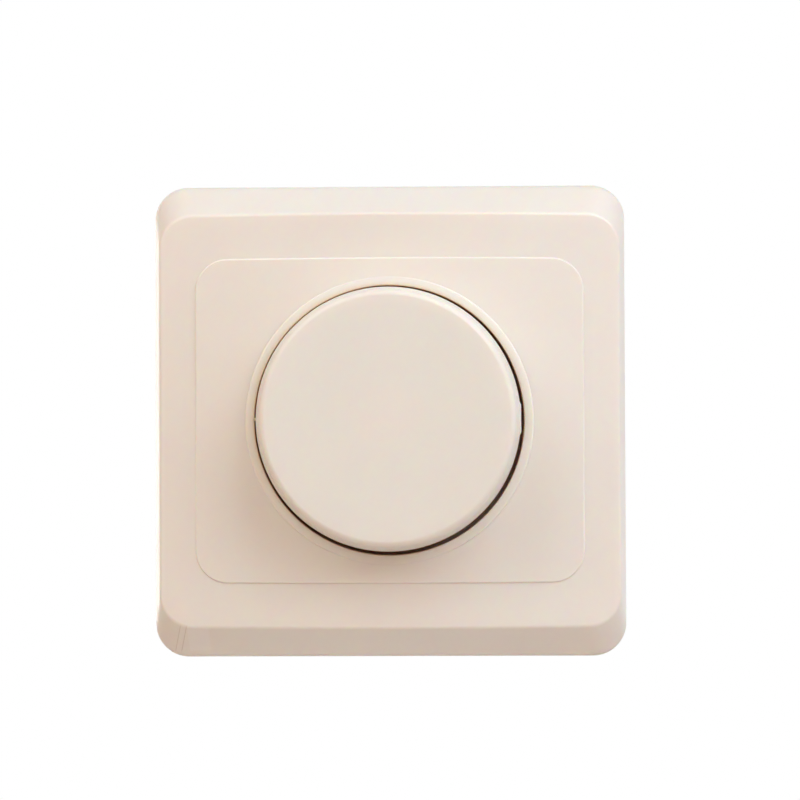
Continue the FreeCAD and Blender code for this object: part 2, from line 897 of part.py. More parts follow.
def make_support_frame():
    """The steel frame that lies on the wall: slots for the box screws and holes for every screw."""
    frame = new_body("support_frame")
    half = "frame_size / 2"
    pad(
        frame,
        "frame_sheet",
        "XZ_Plane",
        "0",
        "frame_thick",
        lambda s: add_rectangle(s, f"-{half}", half, f"-{half}", half),
    )
    round_edges(frame, "frame_corners", "frame_corner", lambda e: runs_along(e, 0, 1, 0))

    def holes(sketch):
        add_circle(sketch, "0", "0", "bush_radius + 2 * fit")
        for side in ("", "-"):
            add_slot(sketch, f"{side}box_screw_pitch / 2", "0", True)
            add_slot(sketch, "0", f"{side}box_screw_pitch / 2", False)
            add_circle(
                sketch, f"{side}frame_screw_x", f"{side}(frame_screw_z)", "frame_screw_radius + 2 * fit"
            )
            add_circle(
                sketch,
                f"{side}claw_screw_x",
                f"{side}(claw_low + claw_wide / 2)",
                "claw_screw_radius + 4 * fit",
            )
        add_circle(
            sketch,
            "triac_left + triac_wide / 2",
            "triac_low + triac_tall - triac_hole_down",
            "triac_screw_radius + fit",
        )

    pocket(frame, "frame_holes", "XZ_Plane", "frame_thick", "frame_thick", holes)
    for name, angle_sign in (("left", "-"), ("right", "")):
        pad(
            frame,
            f"{name}_stiffener",
            "XZ_Plane",
            "frame_thick / 2",
            "frame_thick * 1.5",
            lambda s, q=angle_sign: add_rectangle(
                s,
                *sorted((f"{q}({half} - 2 * fit)", f"{q}({half} - 2 * fit - stiffener_thick)"), key=number),
                "-stiffener_half",
                "stiffener_half",
            ),
        )


def make_screw(label, x, z, radius, head, length):
    """A slotted pan-head screw through the frame, its head on the room side."""
    screw = turned(label, [
        ("0", f"frame_thick - {length}"),
        (f"{radius} - 0.3", f"frame_thick - {length}"),
        (radius, f"frame_thick - {length} + 0.6"),
        (radius, "frame_thick"),
        (head, "frame_thick"),
        (head, "frame_thick + head_tall * 0.6"),
        (f"{head} * 0.7", "frame_thick + head_tall"),
        ("0", "frame_thick + head_tall"),
    ])
    pocket(
        screw,
        label + "_slot",
        "XZ_Plane",
        "frame_thick + head_tall",
        "head_tall * 0.5",
        lambda s: add_rectangle(s, f"-{head} * 2", f"{head} * 2", "-driver_slot_half", "driver_slot_half"),
    )
    return place(screw, x, None, z)


def make_frame_screws():
    """The two screws that hold the base moulding to the frame, as one node."""
    pair = []
    for name, sign in (("right", ""), ("left", "-")):
        screw = make_screw(
            f"frame_screw_{name}",
            f"{sign}frame_screw_x",
            f"{sign}(frame_screw_z)",
            "frame_screw_radius",
            "frame_screw_head",
            "frame_screw_length",
        )
        NODES.remove(screw)
        pair.append(screw)
    group("frame_screws", *pair)


def make_base():
    """The base moulding in the wall box: a rounded tub with screw bosses and wire holes.

    Its back has a shallow blank recess and four round ejector marks.
    """
    base = new_body("base_moulding")
    half = "base_size / 2"
    pad(
        base,
        "base_block",
        "XZ_Plane",
        "-base_depth",
        "base_depth",
        lambda s: add_rectangle(s, f"-{half}", half, f"-{half}", half),
    )
    round_edges(base, "base_corners", "base_corner", lambda e: runs_along(e, 0, 1, 0))
    mouth = next(
        f"Face{i}"
        for i, face in enumerate(base.Tip.Shape.Faces, 1)
        if face.Surface.TypeId == "Part::GeomPlane" and abs(face.CenterOfMass.y) < 1e-6
    )
    body_thickness(base, mouth)
    round_edges(
        base, "back_edge", "back_round", lambda e: abs(e.BoundBox.YMin - number("base_depth")) < 1e-4
    )

    def boss(sketch):
        for side in ("", "-"):
            add_circle(sketch, f"{side}frame_screw_x", f"{side}(frame_screw_z)", "boss_radius")

    def pilot(sketch):
        for side in ("", "-"):
            add_circle(sketch, f"{side}frame_screw_x", f"{side}(frame_screw_z)", "frame_screw_radius")

    def wires(sketch):
        for place_in_row in (-1, 0, 1):
            add_circle(sketch, f"{place_in_row} * terminal_pitch", "wire_z", "wire_hole")

    def drivers(sketch):
        for place_in_row in (-1, 0, 1):
            add_circle(
                sketch,
                f"{place_in_row} * terminal_pitch",
                "-(cage_front + cage_back) / 2",
                "clamp_head_radius - 0.3",
            )

    def recess(sketch):
        add_rectangle(sketch, "-recess_half_width", "recess_half_width", "recess_low", "recess_high")

    def ejectors(sketch):
        for across in ("", "-"):
            for up in ("", "-"):
                add_circle(sketch, f"{across}ejector_spread", f"{up}ejector_spread", "ejector_radius")

    def walls(sketch):
        for side in ("", "-"):
            middle = f"{side}terminal_pitch / 2"
            left, right = f"{middle} - terminal_wall_half", f"{middle} + terminal_wall_half"
            add_rectangle(sketch, left, right, "-(base_size / 2 - base_wall / 2)", "cage_high")

    pad(base, "bosses", "XZ_Plane", "-(base_depth - base_wall / 2)", "base_depth - base_wall / 2", boss)
    pad(
        base,
        "terminal_walls",
        "XZ_Plane",
        "-(base_depth - base_wall / 2)",
        "base_depth - base_wall / 2 + cage_front",
        walls,
    )
    pocket(base, "pilot_holes", "XZ_Plane", "0", "frame_screw_length", pilot)
    pocket(base, "wire_holes", "XZ_Plane", "-(base_depth - base_wall) + 1", "base_wall + 2", wires)
    pocket(base, "back_recess", "XZ_Plane", "-(base_depth - recess_depth)", "recess_depth + 1", recess)
    pocket(base, "ejector_marks", "XZ_Plane", "-(base_depth - ejector_depth)", "ejector_depth + 1", ejectors)
    pocket(base, "driver_holes", "XY_Plane", "-(base_size / 2 - base_wall) + 1", "base_wall + 2", drivers)


def body_thickness(body, open_face):
    """Hollows the body inwards from one open face."""
    solid = body.Tip
    hollow = body.newObject("PartDesign::Thickness", body.Label + "_hollow")
    hollow.Base = (solid, [open_face])
    bind(hollow, "Value", "base_wall")
    hollow.Reversed = True
    doc.recompute()


def make_claw(label, half_turn):
    """A spreading claw: a foot on its screw, a leg beside the base and a toothed tail."""
    claw = new_body(label)
    foot_back = "claw_foot_top - claw_foot_thick"
    outer = "claw_inner + claw_thick"
    bend = "claw_bend"
    profile = [
        ("claw_inner", "claw_foot_top"),
        ("claw_foot_end", "claw_foot_top"),
        ("claw_foot_end", foot_back),
        (outer, foot_back),
        (outer, "claw_tail"),
        (f"{outer} + {bend}", f"claw_tail - {bend}"),
        (f"{outer} + {bend} - claw_edge", f"claw_tail - {bend} - claw_edge"),
        ("claw_inner", "claw_tail - 0.5"),
    ]
    pad(
        claw,
        label + "_sheet",
        "XY_Plane",
        "claw_low",
        "claw_wide",
        lambda s: add_outline(s, [(across, f"-({height})") for across, height in profile]),
    )
    middle = "claw_low + claw_wide / 2"
    pocket(
        claw,
        label + "_way",
        "XZ_Plane",
        "claw_foot_top",
        "claw_foot_thick",
        lambda s: add_rectangle(
            s, outer, "claw_foot_end - claw_edge", f"{middle} - claw_way_half", f"{middle} + claw_way_half"
        ),
    )
    pocket(
        claw,
        label + "_fork",
        "XZ_Plane",
        foot_back,
        "claw_screw_length",
        lambda s: add_rectangle(
            s,
            "claw_inner - 1",
            f"{outer} + 2 * fit",
            f"{middle} - claw_fork_half",
            f"{middle} + claw_fork_half",
        ),
    )
    pocket(
        claw,
        label + "_teeth",
        "XZ_Plane",
        f"claw_tail - {bend} / 2",
        "6",
        lambda s: add_rectangle(
            s,
            f"{outer} + claw_thick / 2",
            "claw_foot_end + 2",
            f"{middle} - claw_teeth_half",
            f"{middle} + claw_teeth_half",
        ),
    )
    if half_turn:
        place(claw, axis=(0, 1, 0), angle=180)


def make_claw_screw(label, sign):
    make_screw(
        label,
        f"{sign}claw_screw_x",
        f"{sign}(claw_low + claw_wide / 2)",
        "claw_screw_radius",
        "claw_screw_head",
        "claw_screw_length",
    )


# ---- terminals ----

TERMINALS = (("left", -1), ("middle", 0), ("right", 1))


def make_terminal(name, place_in_row):
    """One rising-cage terminal: the cage, which climbs its screw, and the screw."""
    x = f"{place_in_row} * terminal_pitch"
    left, right = f"{x} - cage_half", f"{x} + cage_half"
    outside = block(f"{name}_cage_block", left, right, "cage_back", "cage_front", "cage_low", "cage_high")
    window = block(
        f"{name}_cage_window",
        f"{left} + cage_wall",
        f"{right} - cage_wall",
        "cage_back - 1",
        "cage_front + 1",
        "cage_low + cage_floor",
        "cage_high - cage_roof",
    )
    middle = "(cage_front + cage_back) / 2"
    thread = rod(
        f"{name}_cage_thread",
        "clamp_screw_radius + fit",
        "cage_floor * 3",
        x,
        middle,
        "cage_low - cage_floor",
        (1, 0, 0),
        0,
    )
    node(cut(f"{name}_clamp_cage", outside, window, thread), f"{name}_clamp_cage")

    head_top = "clamp_head_low + clamp_head_tall"
    head = rod(
        f"{name}_clamp_head",
        "clamp_head_radius",
        "clamp_head_tall",
        x,
        middle,
        "clamp_head_low",
        (1, 0, 0),
        0,
    )
    shank = rod(
        f"{name}_clamp_shank",
        "clamp_screw_radius",
        f"bar_low - fit - ({head_top})",
        x,
        middle,
        head_top,
        (1, 0, 0),
        0,
    )
    slot = block(
        f"{name}_clamp_slot",
        f"{x} - 2 * clamp_head_radius",
        f"{x} + 2 * clamp_head_radius",
        f"{middle} - driver_slot_half",
        f"{middle} + driver_slot_half",
        "clamp_head_low - 1",
        "clamp_head_low + clamp_head_tall / 2",
    )
    screw = cut(f"{name}_clamp_screw", fuse(f"{name}_clamp_turned", head, shank), slot)
    node(screw, f"{name}_clamp_screw")


def make_terminal_bars():
    """The three fixed bars that the cages clamp wires against, each with its leg to the board."""
    bars = []
    for name, place_in_row in TERMINALS:
        x = f"{place_in_row} * terminal_pitch"
        bar = block(
            f"{name}_bar_flat",
            f"{x} - bar_half",
            f"{x} + bar_half",
            "board_front - board_thick",
            "cage_front",
            "bar_low",
            "bar_low + bar_thick",
        )
        leg = block(
            f"{name}_bar_leg",
            f"{x} + bar_half - 0.4",
            f"{x} + bar_half",
            "board_front - board_thick",
            "board_front",
            "bar_low",
            "board_low",
        )
        bars.append(fuse(f"{name}_bar", bar, leg))
    group("terminal_bars", *bars)


# ---- circuit board and its components ----

def make_board():
    board = new_body("circuit_board")
    pad(
        board,
        "board_sheet",
        "XZ_Plane",
        "board_front - board_thick",
        "board_thick",
        lambda s: add_rectangle(s, "-board_half", "board_half", "board_low", "board_half"),
    )
    round_edges(
        board, "board_corners", "board_corner", lambda e: runs_along(e, 0, 1, 0) and e.CenterOfMass.z > 0
    )
    pocket(
        board,
        "boss_notch",
        "XZ_Plane",
        "board_front",
        "board_thick",
        lambda s: add_circle(s, "-frame_screw_x", "-frame_screw_z", "boss_radius + 4 * fit"),
    )


def make_triac():
    """The power switch: a moulded block on a metal tab, insulated from the frame that cools it."""
    right = "triac_left + triac_wide"
    top = "triac_low + triac_tall"
    tab_front = "-mica_thick"
    tab_back = f"{tab_front} - triac_tab_thick"
    hole_x, hole_z = "triac_left + triac_wide / 2", f"{top} - triac_hole_down"
    tab = block("triac_tab", "triac_left", right, tab_back, tab_front, "triac_low", top)
    case = block(
        "triac_moulding",
        "triac_left",
        right,
        f"{tab_back} - triac_body_thick",
        tab_back,
        "triac_low",
        f"{top} - triac_body_short",
    )
    leg_front, leg_back = f"{tab_back} - 1.9", f"{tab_back} - 1.9 - triac_leg_thick"
    bend_top, bend_low = "triac_low - 1.2", "triac_low - 1.2 - triac_leg_thick"
    legs = []
    for step in (-1, 0, 1):
        left = f"{hole_x} + {step} * triac_leg_pitch - triac_leg_half"
        beside = f"{hole_x} + {step} * triac_leg_pitch + triac_leg_half"
        legs.append(block(f"triac_leg_{step + 2}", left, beside, leg_back, leg_front, bend_top, "triac_low"))
        legs.append(
            block(f"triac_pin_{step + 2}", left, beside, "board_front", leg_front, bend_low, bend_top)
        )
    hole = rod("triac_hole", "triac_screw_radius + fit", "4", hole_x, f"{tab_back} - 1", hole_z)
    node(cut("triac", fuse("triac_whole", tab, case, *legs), hole), "triac")

    sheet_mica = block(
        "mica_sheet", "triac_left - 0.5", f"{right} + 0.5", tab_front, "0", "triac_low - 0.3", f"{top} + 0.3"
    )
    mica_hole = rod("mica_hole", "triac_screw_radius + fit", "4", hole_x, "-2", hole_z)
    node(cut("triac_insulator", sheet_mica, mica_hole), "triac_insulator")

    make_screw("triac_screw", hole_x, hole_z, "triac_screw_radius", "triac_screw_head", "triac_screw_length")
    nut = new_body("triac_nut")
    point, flat = "triac_nut_point", "triac_nut_flat"
    corners = [(point, "0"), (f"{point} / 2", flat), (f"-{point} / 2", flat)]
    corners += [(f"-({across})", f"-({up})") for across, up in corners]
    thick = "triac_nut_thick"
    pad(
        nut, "triac_nut_blank", "XZ_Plane", f"{tab_back} - {thick}", thick, lambda s: add_outline(s, corners)
    )
    pocket(
        nut,
        "triac_nut_bore",
        "XZ_Plane",
        tab_back,
        thick,
        lambda s: add_circle(s, "0", "0", "triac_screw_radius"),
    )
    place(nut, hole_x, None, hole_z)


def make_choke():
    """The interference choke: a ring core on edge, wound with enamelled wire."""
    core = turned("choke_core", [
        ("choke_hole", "-choke_thick / 2"),
        ("choke_radius", "-choke_thick / 2"),
        ("choke_radius", "choke_thick / 2"),
        ("choke_hole", "choke_thick / 2"),
    ])
    place(core, "choke_x", "choke_height", "choke_z", (0, 0, 1), 90)

    wire = number("choke_wire")
    inner, outer = number("choke_hole") - wire, number("choke_radius") + wire
    side = number("choke_thick / 2") + wire
    loop = Part.makePolygon([
        FreeCAD.Vector(inner, -side, 0),
        FreeCAD.Vector(outer, -side, 0),
        FreeCAD.Vector(outer, side, 0),
        FreeCAD.Vector(inner, side, 0),
        FreeCAD.Vector(inner, -side, 0),
    ])
    sheath = Part.Face(loop)
    axis, clear = FreeCAD.Vector(0, 1, 0), 0.005
    drum = Part.makeCylinder(
        outer - wire + clear, 2 * (side - wire + clear), FreeCAD.Vector(0, wire - side - clear, 0), axis
    )
    bore = Part.makeCylinder(inner + wire - clear, 4 * side, FreeCAD.Vector(0, -2 * side, 0), axis)
    room = drum.cut(bore)
    turns, sweep = SIZES["choke_turns"], SIZES["choke_sweep"]
    shapes = []
    for turn in range(turns):
        wedge = sheath.revolve(FreeCAD.Vector(), axis, 1.6 * math.degrees(wire / inner))
        wedge.rotate(FreeCAD.Vector(), axis, (360 - sweep) / 2 + turn * sweep / turns)
        shapes.append(wedge.cut(room))
    winding = doc.addObject("Part::Feature", "choke_winding")
    winding.Shape = Part.makeCompound(shapes)
    centre = on_wall(number("choke_x"), number("choke_height"), number("choke_z"))
    winding.Placement = FreeCAD.Placement(centre, FreeCAD.Rotation(FreeCAD.Vector(0, 0, 1), 90))
    node(winding, "choke_winding")


def make_fuse():
    """A glass fuse with metal caps, held by two clips that stand on the board."""
    right = "fuse_left + fuse_length"
    tube = rod(
        "fuse_tube",
        "fuse_radius - fuse_wall",
        "fuse_length - 2 * fuse_end",
        "fuse_left + fuse_end",
        "fuse_height",
        "fuse_z",
        **ALONG_X,
    )
    caps, clips = [], []
    for name, start in (("left", "fuse_left"), ("right", f"{right} - fuse_cap")):
        solid_cap = rod(
            f"{name}_cap_bar", "fuse_radius", "fuse_cap", start, "fuse_height", "fuse_z", **ALONG_X
        )
        inside = rod(
            f"{name}_cap_room",
            "fuse_radius - fuse_wall",
            "fuse_length - 2 * fuse_end",
            "fuse_left + fuse_end",
            "fuse_height",
            "fuse_z",
            **ALONG_X,
        )
        caps.append(cut(f"{name}_cap", solid_cap, inside))
        clip_left = f"{start} + fuse_end"
        clip_right = f"{clip_left} + fuse_clip_wide"
        side = "fuse_radius + fuse_clip_thick"
        holder = block(
            f"{name}_clip_block",
            clip_left,
            clip_right,
            "board_front",
            "fuse_height + fuse_radius / 2",
            f"fuse_z - ({side})",
            f"fuse_z + {side}",
        )
        seat = rod(
            f"{name}_clip_seat",
            "fuse_radius",
            "fuse_length",
            "fuse_left",
            "fuse_height",
            "fuse_z",
            **ALONG_X,
        )
        mouth = block(
            f"{name}_clip_mouth",
            clip_left,
            clip_right,
            "fuse_height",
            "fuse_height + fuse_radius",
            "fuse_z - fuse_radius + 0.8 * fuse_clip_thick",
            "fuse_z + fuse_radius - 0.8 * fuse_clip_thick",
        )
        under = block(
            f"{name}_clip_under",
            clip_left,
            clip_right,
            "board_front + fuse_clip_thick",
            f"fuse_height - ({side})",
            "fuse_z - fuse_radius",
            "fuse_z + fuse_radius",
        )
        clips.append(cut(f"{name}_clip", holder, seat, mouth, under))
    node(tube, "fuse_glass")
    group("fuse_caps", *caps)
    group("fuse_clips", *clips)


def make_small_components():
    """The capacitors, resistors and trigger diode that stand on the board."""
    for name, label in (("suppressor", "suppressor_capacitor"), ("timing", "timing_capacitor")):
        case = block(
            label,
            f"{name}_left",
            f"{name}_right",
            "board_front",
            f"{name}_front",
            f"{name}_low",
            f"{name}_high",
        )
        node(case, label)
    resistors = []
    for index in range(2):
        height, z = "board_front + resistor_radius + lead_gap", f"resistor_z + {index} * resistor_pitch"
        resistors.append(
            rod(f"resistor_{index + 1}", "resistor_radius", "resistor_length", "0", height, z, **ALONG_X)
        )
    group("resistors", *resistors)
    height = "board_front + diode_radius + lead_gap"
    diode = rod("trigger_diode", "diode_radius", "diode_length", "diode_left", height, "diode_z", **ALONG_X)
    node(diode, "trigger_diode")


def main():
    make_cover_plate()
    make_knob()
    make_knob_clip()
    make_shaft()
    make_bush()
    make_nut("frame_nut", "frame_thick", "well_floor - frame_thick")
    make_washer()
    make_nut("cover_nut", "well_floor + well_floor_thick + washer_thick", "nut_thick")
    make_pot_case()
    make_track()
    make_wiper()
    make_switch()
    make_spring()
    make_support_frame()
    make_frame_screws()
    make_base()
    make_claw("right_claw", False)
    make_claw("left_claw", True)
    make_claw_screw("right_claw_screw", "")
    make_claw_screw("left_claw_screw", "-")
    for name, place_in_row in TERMINALS:
        make_terminal(name, place_in_row)
    make_terminal_bars()
    make_board()
    make_triac()
    make_choke()
    make_fuse()
    make_small_components()
    doc.recompute()
    check_and_write()


def check_and_write():
    """Stops on any failed object or bad solid, then writes one STEP file per node."""
    for thing in doc.Objects:
        if "Invalid" in thing.State or "Error" in thing.State:
            raise RuntimeError(f"{thing.Name} failed: {thing.State}")
    for thing in NODES:
        if thing.Shape.isNull() or not thing.Shape.isValid() or not thing.Shape.Solids:
            raise RuntimeError(f"{thing.Label} has no valid solid")
    os.makedirs("parts", exist_ok=True)
    for thing in NODES:
        thing.Shape.exportStep(f"parts/{thing.Label}.step")
        print(f"{thing.Label}: {len(thing.Shape.Solids)} solids, {thing.Shape.Volume:.1f} mm3")


main()
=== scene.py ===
"""Builds a push-and-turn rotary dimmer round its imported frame, with its finishes, studio and camera."""

import json

import bpy
import numpy as np
from bpy.props import FloatProperty, FloatVectorProperty, IntProperty, PointerProperty
from mathutils import Matrix, Vector


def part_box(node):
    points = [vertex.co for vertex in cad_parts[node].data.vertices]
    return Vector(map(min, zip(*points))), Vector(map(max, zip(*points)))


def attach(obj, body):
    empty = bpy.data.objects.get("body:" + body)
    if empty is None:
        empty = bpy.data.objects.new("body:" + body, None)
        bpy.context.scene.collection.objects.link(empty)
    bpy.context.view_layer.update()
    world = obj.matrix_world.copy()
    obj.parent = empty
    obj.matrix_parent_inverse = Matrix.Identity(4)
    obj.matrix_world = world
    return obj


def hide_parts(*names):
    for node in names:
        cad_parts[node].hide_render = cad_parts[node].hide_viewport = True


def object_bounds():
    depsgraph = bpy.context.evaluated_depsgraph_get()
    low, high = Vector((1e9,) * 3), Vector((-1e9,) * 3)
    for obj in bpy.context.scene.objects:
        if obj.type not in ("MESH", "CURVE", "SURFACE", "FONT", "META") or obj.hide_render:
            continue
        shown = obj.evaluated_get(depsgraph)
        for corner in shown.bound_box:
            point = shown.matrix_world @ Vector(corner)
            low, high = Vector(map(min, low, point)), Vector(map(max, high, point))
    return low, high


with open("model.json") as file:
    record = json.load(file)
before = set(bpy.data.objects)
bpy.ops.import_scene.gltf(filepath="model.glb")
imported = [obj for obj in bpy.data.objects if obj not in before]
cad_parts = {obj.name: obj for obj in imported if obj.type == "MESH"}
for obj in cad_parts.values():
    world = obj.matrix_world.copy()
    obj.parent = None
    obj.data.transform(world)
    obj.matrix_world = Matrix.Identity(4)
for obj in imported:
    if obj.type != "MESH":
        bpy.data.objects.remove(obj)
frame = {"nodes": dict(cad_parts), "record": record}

bl_info = {
    "name": "Rotary Dimmer",
    "version": (1, 0, 0),
    "blender": (4, 5, 0),
    "location": "3D View > Sidebar > Dimmer",
    "description": "Builds a rotary dimmer's cover plate, knob, insert and studio",
    "category": "Object",
}

CAD_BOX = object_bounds()
MM = 0.001
COVER_LOW, COVER_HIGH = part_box("cover_plate")
KNOB_LOW, KNOB_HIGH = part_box("knob")
BASE_LOW, BASE_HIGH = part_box("base_moulding")

# Points are worked out as x, height off the wall towards the room, and z. The room is on the -Y side.


def size(name, default, description):
    """A length in millimetres that a user can change."""
    return FloatProperty(name=name, default=default, description=description, min=0.0, precision=3)


class DimmerCoverSettings(bpy.types.PropertyGroup):
    """Sizes of the cover plate, in millimetres."""

    plate: size("Plate", (COVER_HIGH[0] - COVER_LOW[0]) / MM, "Side of the square plate on the wall")
    plate_corner: size("Plate corner", 5.75, "Radius of the plate's corners")
    rim: size("Rim", 1.2, "Height of the upright rim on the wall")
    wall: size("Wall", 2.0, "Thickness of the moulding")
    face_width: size("Face width", 78.1, "Width of the crowned face")
    face_tall: size("Face height", 69.7, "Height of the crowned face")
    face_corner: size("Face corner", 5.6, "Radius of the face's corners")
    crest: size("Crest", 10.0, "How far the middle of the face stands off the wall")
    curve: size("Crown radius", 230.0, "Radius of the face's curve about an upright axis")
    edge_round: size("Edge round", 0.45, "Width of the rounding between the face and its sloping sides")
    panel_width: size("Panel width", 65.5, "Width of the raised panel")
    panel_tall: size("Panel height", 54.5, "Height of the raised panel")
    panel_corner: size("Panel corner", 5.4, "Radius of the panel's corners")
    panel_raise: size("Panel raise", 0.28, "How far the panel stands proud of the face")
    well: size("Well", 22.6, "Radius of the knob's well")
    well_floor: size("Well floor", 3.0, "Height of the back of the well's floor")
    floor_thick: size("Floor thickness", 1.6, "Thickness of the well's floor")
    tube: size("Well tube", 24.1, "Outer radius of the tube behind the well")
    hole: size("Bush hole", 5.6, "Radius of the hole for the threaded bush")
    collar_top: size("Collar top", 10.37, "Height of the collar's highest circle")
    collar_crest: size("Collar crest", 23.25, "Radius of the collar's highest circle")
    collar_crown: size("Collar crown", 3.9, "Radius of the collar's crowned section")
    collar_outer: size("Collar outer", 24.15, "Outer radius of the collar")
    collar_shoulder: size("Collar shoulder", 0.3, "Radius of the collar's outer edge")


class DimmerKnobSettings(bpy.types.PropertyGroup):
    """Sizes of the knob, in millimetres."""

    base: size("Base radius", (KNOB_HIGH[0] - KNOB_LOW[0]) / 2 / MM, "Radius of the knob at the collar")
    face: size("Face radius", 20.75, "Radius of the knob's front before its edge is rounded")
    front: size("Front", -KNOB_LOW[1] / MM, "Height of the knob's front")
    skirt: size("Skirt", -KNOB_HIGH[1] / MM, "Height of the knob's open end inside the well")
    waist: size("Waist", 10.8, "Height where the taper starts")
    wall: size("Wall", 1.5, "Thickness of the knob's wall")
    edge: size("Edge round", 1.1, "Radius of the front edge")
    hub: size("Hub", 5.5, "Outer radius of the hub")
    hub_end: size("Hub end", 10.5, "Height of the hub's open end")
    bore: size("Bore", 3.025, "Radius of the hub's bore")
    bore_end: size("Bore end", 18.05, "Height of the bottom of the bore")
    ribs: IntProperty(name="Ribs", default=6, description="Number of ribs inside the knob", min=0)


class DimmerStageSettings(bpy.types.PropertyGroup):
    """Where the camera stands and how much it sees."""

    distance: FloatProperty(
        name="Camera distance", default=0.300, unit="LENGTH", description="From the wall plane"
    )
    side_step: FloatProperty(
        name="Camera side step", default=0.004, unit="LENGTH", description="Camera right of centre"
    )
    drop: FloatProperty(
        name="Camera drop", default=0.004, unit="LENGTH", description="Camera below centre"
    )
    roll: FloatProperty(
        name="Camera roll", default=0.0040, subtype="ANGLE", description="Turn about the line of sight"
    )
    view_width: FloatProperty(
        name="View width", default=0.1386, unit="LENGTH", description="Width seen at the wall"
    )


class DimmerColours(bpy.types.PropertyGroup):
    """Colours of the visible mouldings."""

    ivory: FloatVectorProperty(
        name="Ivory",
        subtype="COLOR",
        size=3,
        default=(0.87, 0.80, 0.72),
        description="Cover plate and knob",
    )


# ---- surfaces ----

class Shell:
    """Vertices and faces gathered from one or more closed surfaces."""

    def __init__(self):
        self.points = np.zeros((0, 3))
        self.faces = []

    def add(self, points, faces):
        """Adds a closed surface, turned so that its faces point outwards.

        The signed volume is a sixth of the sum of the triple products of each triangle's corners.
        """
        volume = 0.0
        for block in faces:
            for corner in range(1, block.shape[1] - 1):
                a, b, c = points[block[:, 0]], points[block[:, corner]], points[block[:, corner + 1]]
                volume += np.einsum("ij,ij->", a, np.cross(b, c))
        start = len(self.points)
        self.points = np.vstack([self.points, points])
        for block in faces:
            ordered = block[:, ::-1] if volume < 0 else block
            self.faces.append(ordered + start)
        return self

    def grid(self, rows, close_rows=False):
        """Adds a surface through rows of points, each row a closed ring.

        Quads join each point to the next in its ring and to the same place in the next ring. The
        last ring joins the first if close_rows, and otherwise each end closes on a middle point.
        """
        rows = np.asarray(rows, float)
        count, around = rows.shape[:2]
        points = rows.reshape(-1, 3)
        index = np.arange(count * around).reshape(count, around)
        following = np.roll(index, -1, axis=1)
        last = count if close_rows else count - 1
        upper = np.roll(index, -1, axis=0)[:last]
        upper_following = np.roll(following, -1, axis=0)[:last]
        quads = np.stack([index[:last], following[:last], upper_following, upper], axis=-1)
        faces = [quads.reshape(-1, 4)]
        if not close_rows:
            ends = np.stack([rows[0].mean(axis=0), rows[-1].mean(axis=0)])
            points = np.vstack([points, ends])
            first_end, last_end = count * around, count * around + 1
            first = np.stack([following[0], index[0], np.full(around, first_end)], axis=-1)
            final = np.stack([index[-1], following[-1], np.full(around, last_end)], axis=-1)
            faces += [first, final]
        return self.add(points, faces)

    def box(self, low, high):
        """Adds a box between two corners given as x, height, z."""
        low, high = np.asarray(low, float), np.asarray(high, float)
        corners = np.array([[(i >> 2) & 1, (i >> 1) & 1, i & 1] for i in range(8)])
        points = low + corners * (high - low)
        sides = np.array([
            [0, 1, 3, 2], [4, 6, 7, 5],
            [0, 4, 5, 1], [2, 3, 7, 6],
            [0, 2, 6, 4], [1, 5, 7, 3],
        ])
        return self.add(points, [sides])

    def turn(self, angle):
        """Turns everything so far about the knob's axis."""
        x, z = self.points[:, 0].copy(), self.points[:, 2].copy()
        self.points[:, 0] = x * np.cos(angle) - z * np.sin(angle)
        self.points[:, 2] = x * np.sin(angle) + z * np.cos(angle)
        return self

    def join(self, other):
        """Takes in the surfaces of another shell."""
        start = len(self.points)
        self.points = np.vstack([self.points, other.points])
        self.faces += [block + start for block in other.faces]
        return self

    def build(self, name, centre=(0.0, 0.0)):
        """Makes the object, from millimetres as x, height, z to metres as X, Y, Z."""
        places = np.empty_like(self.points)
        places[:, 0] = self.points[:, 0] * MM + centre[0]
        places[:, 1] = -self.points[:, 1] * MM
        places[:, 2] = self.points[:, 2] * MM + centre[1]
        mesh = bpy.data.meshes.new(name)
        corners = np.concatenate([block[:, ::-1].ravel() for block in self.faces])
        totals = np.concatenate([np.full(len(block), block.shape[1]) for block in self.faces])
        mesh.vertices.add(len(places))
        mesh.vertices.foreach_set("co", places.ravel())
        mesh.loops.add(len(corners))
        mesh.loops.foreach_set("vertex_index", corners.astype(np.int32))
        mesh.polygons.add(len(totals))
        mesh.polygons.foreach_set("loop_start", (np.cumsum(totals) - totals).astype(np.int32))
        mesh.polygons.foreach_set("use_smooth", np.ones(len(totals), bool))
        mesh.update(calc_edges=True)
        mesh.validate()
        piece = bpy.data.objects.new(name, mesh)
        bpy.context.scene.collection.objects.link(piece)
        return piece


def rounded_path(corners, radii, steps):
    """A closed path in two measures through corners, each rounded by an arc of its own radius.

    At a corner whose sides turn through an angle, the arc starts and ends at the radius times the
    tangent of half that angle from the corner, and its centre is on the corner's bisector.
    """
    corners = np.asarray(corners, float)
    path = []
    for before, corner, after, radius in zip(
        np.roll(corners, 1, axis=0), corners, np.roll(corners, -1, axis=0), radii
    ):
        if radius <= 0:
            path.append(corner[None])
            continue
        incoming, outgoing = corner - before, after - corner
        incoming, outgoing = incoming / np.linalg.norm(incoming), outgoing / np.linalg.norm(outgoing)
        cross = incoming[0] * outgoing[1] - incoming[1] * outgoing[0]
        turn = np.arctan2(cross, incoming @ outgoing)
        reach = radius * np.tan(abs(turn) / 2)
        start = corner - incoming * reach
        normal = np.array([-incoming[1], incoming[0]]) * np.sign(turn)
        centre = start + normal * radius
        angles = np.linspace(0, turn, steps + 1)[:, None]
        arm = start - centre
        swung = np.hstack([
            arm[0] * np.cos(angles) - arm[1] * np.sin(angles),
            arm[0] * np.sin(angles) + arm[1] * np.cos(angles),
        ])
        path.append(centre + swung)
    return np.vstack(path)


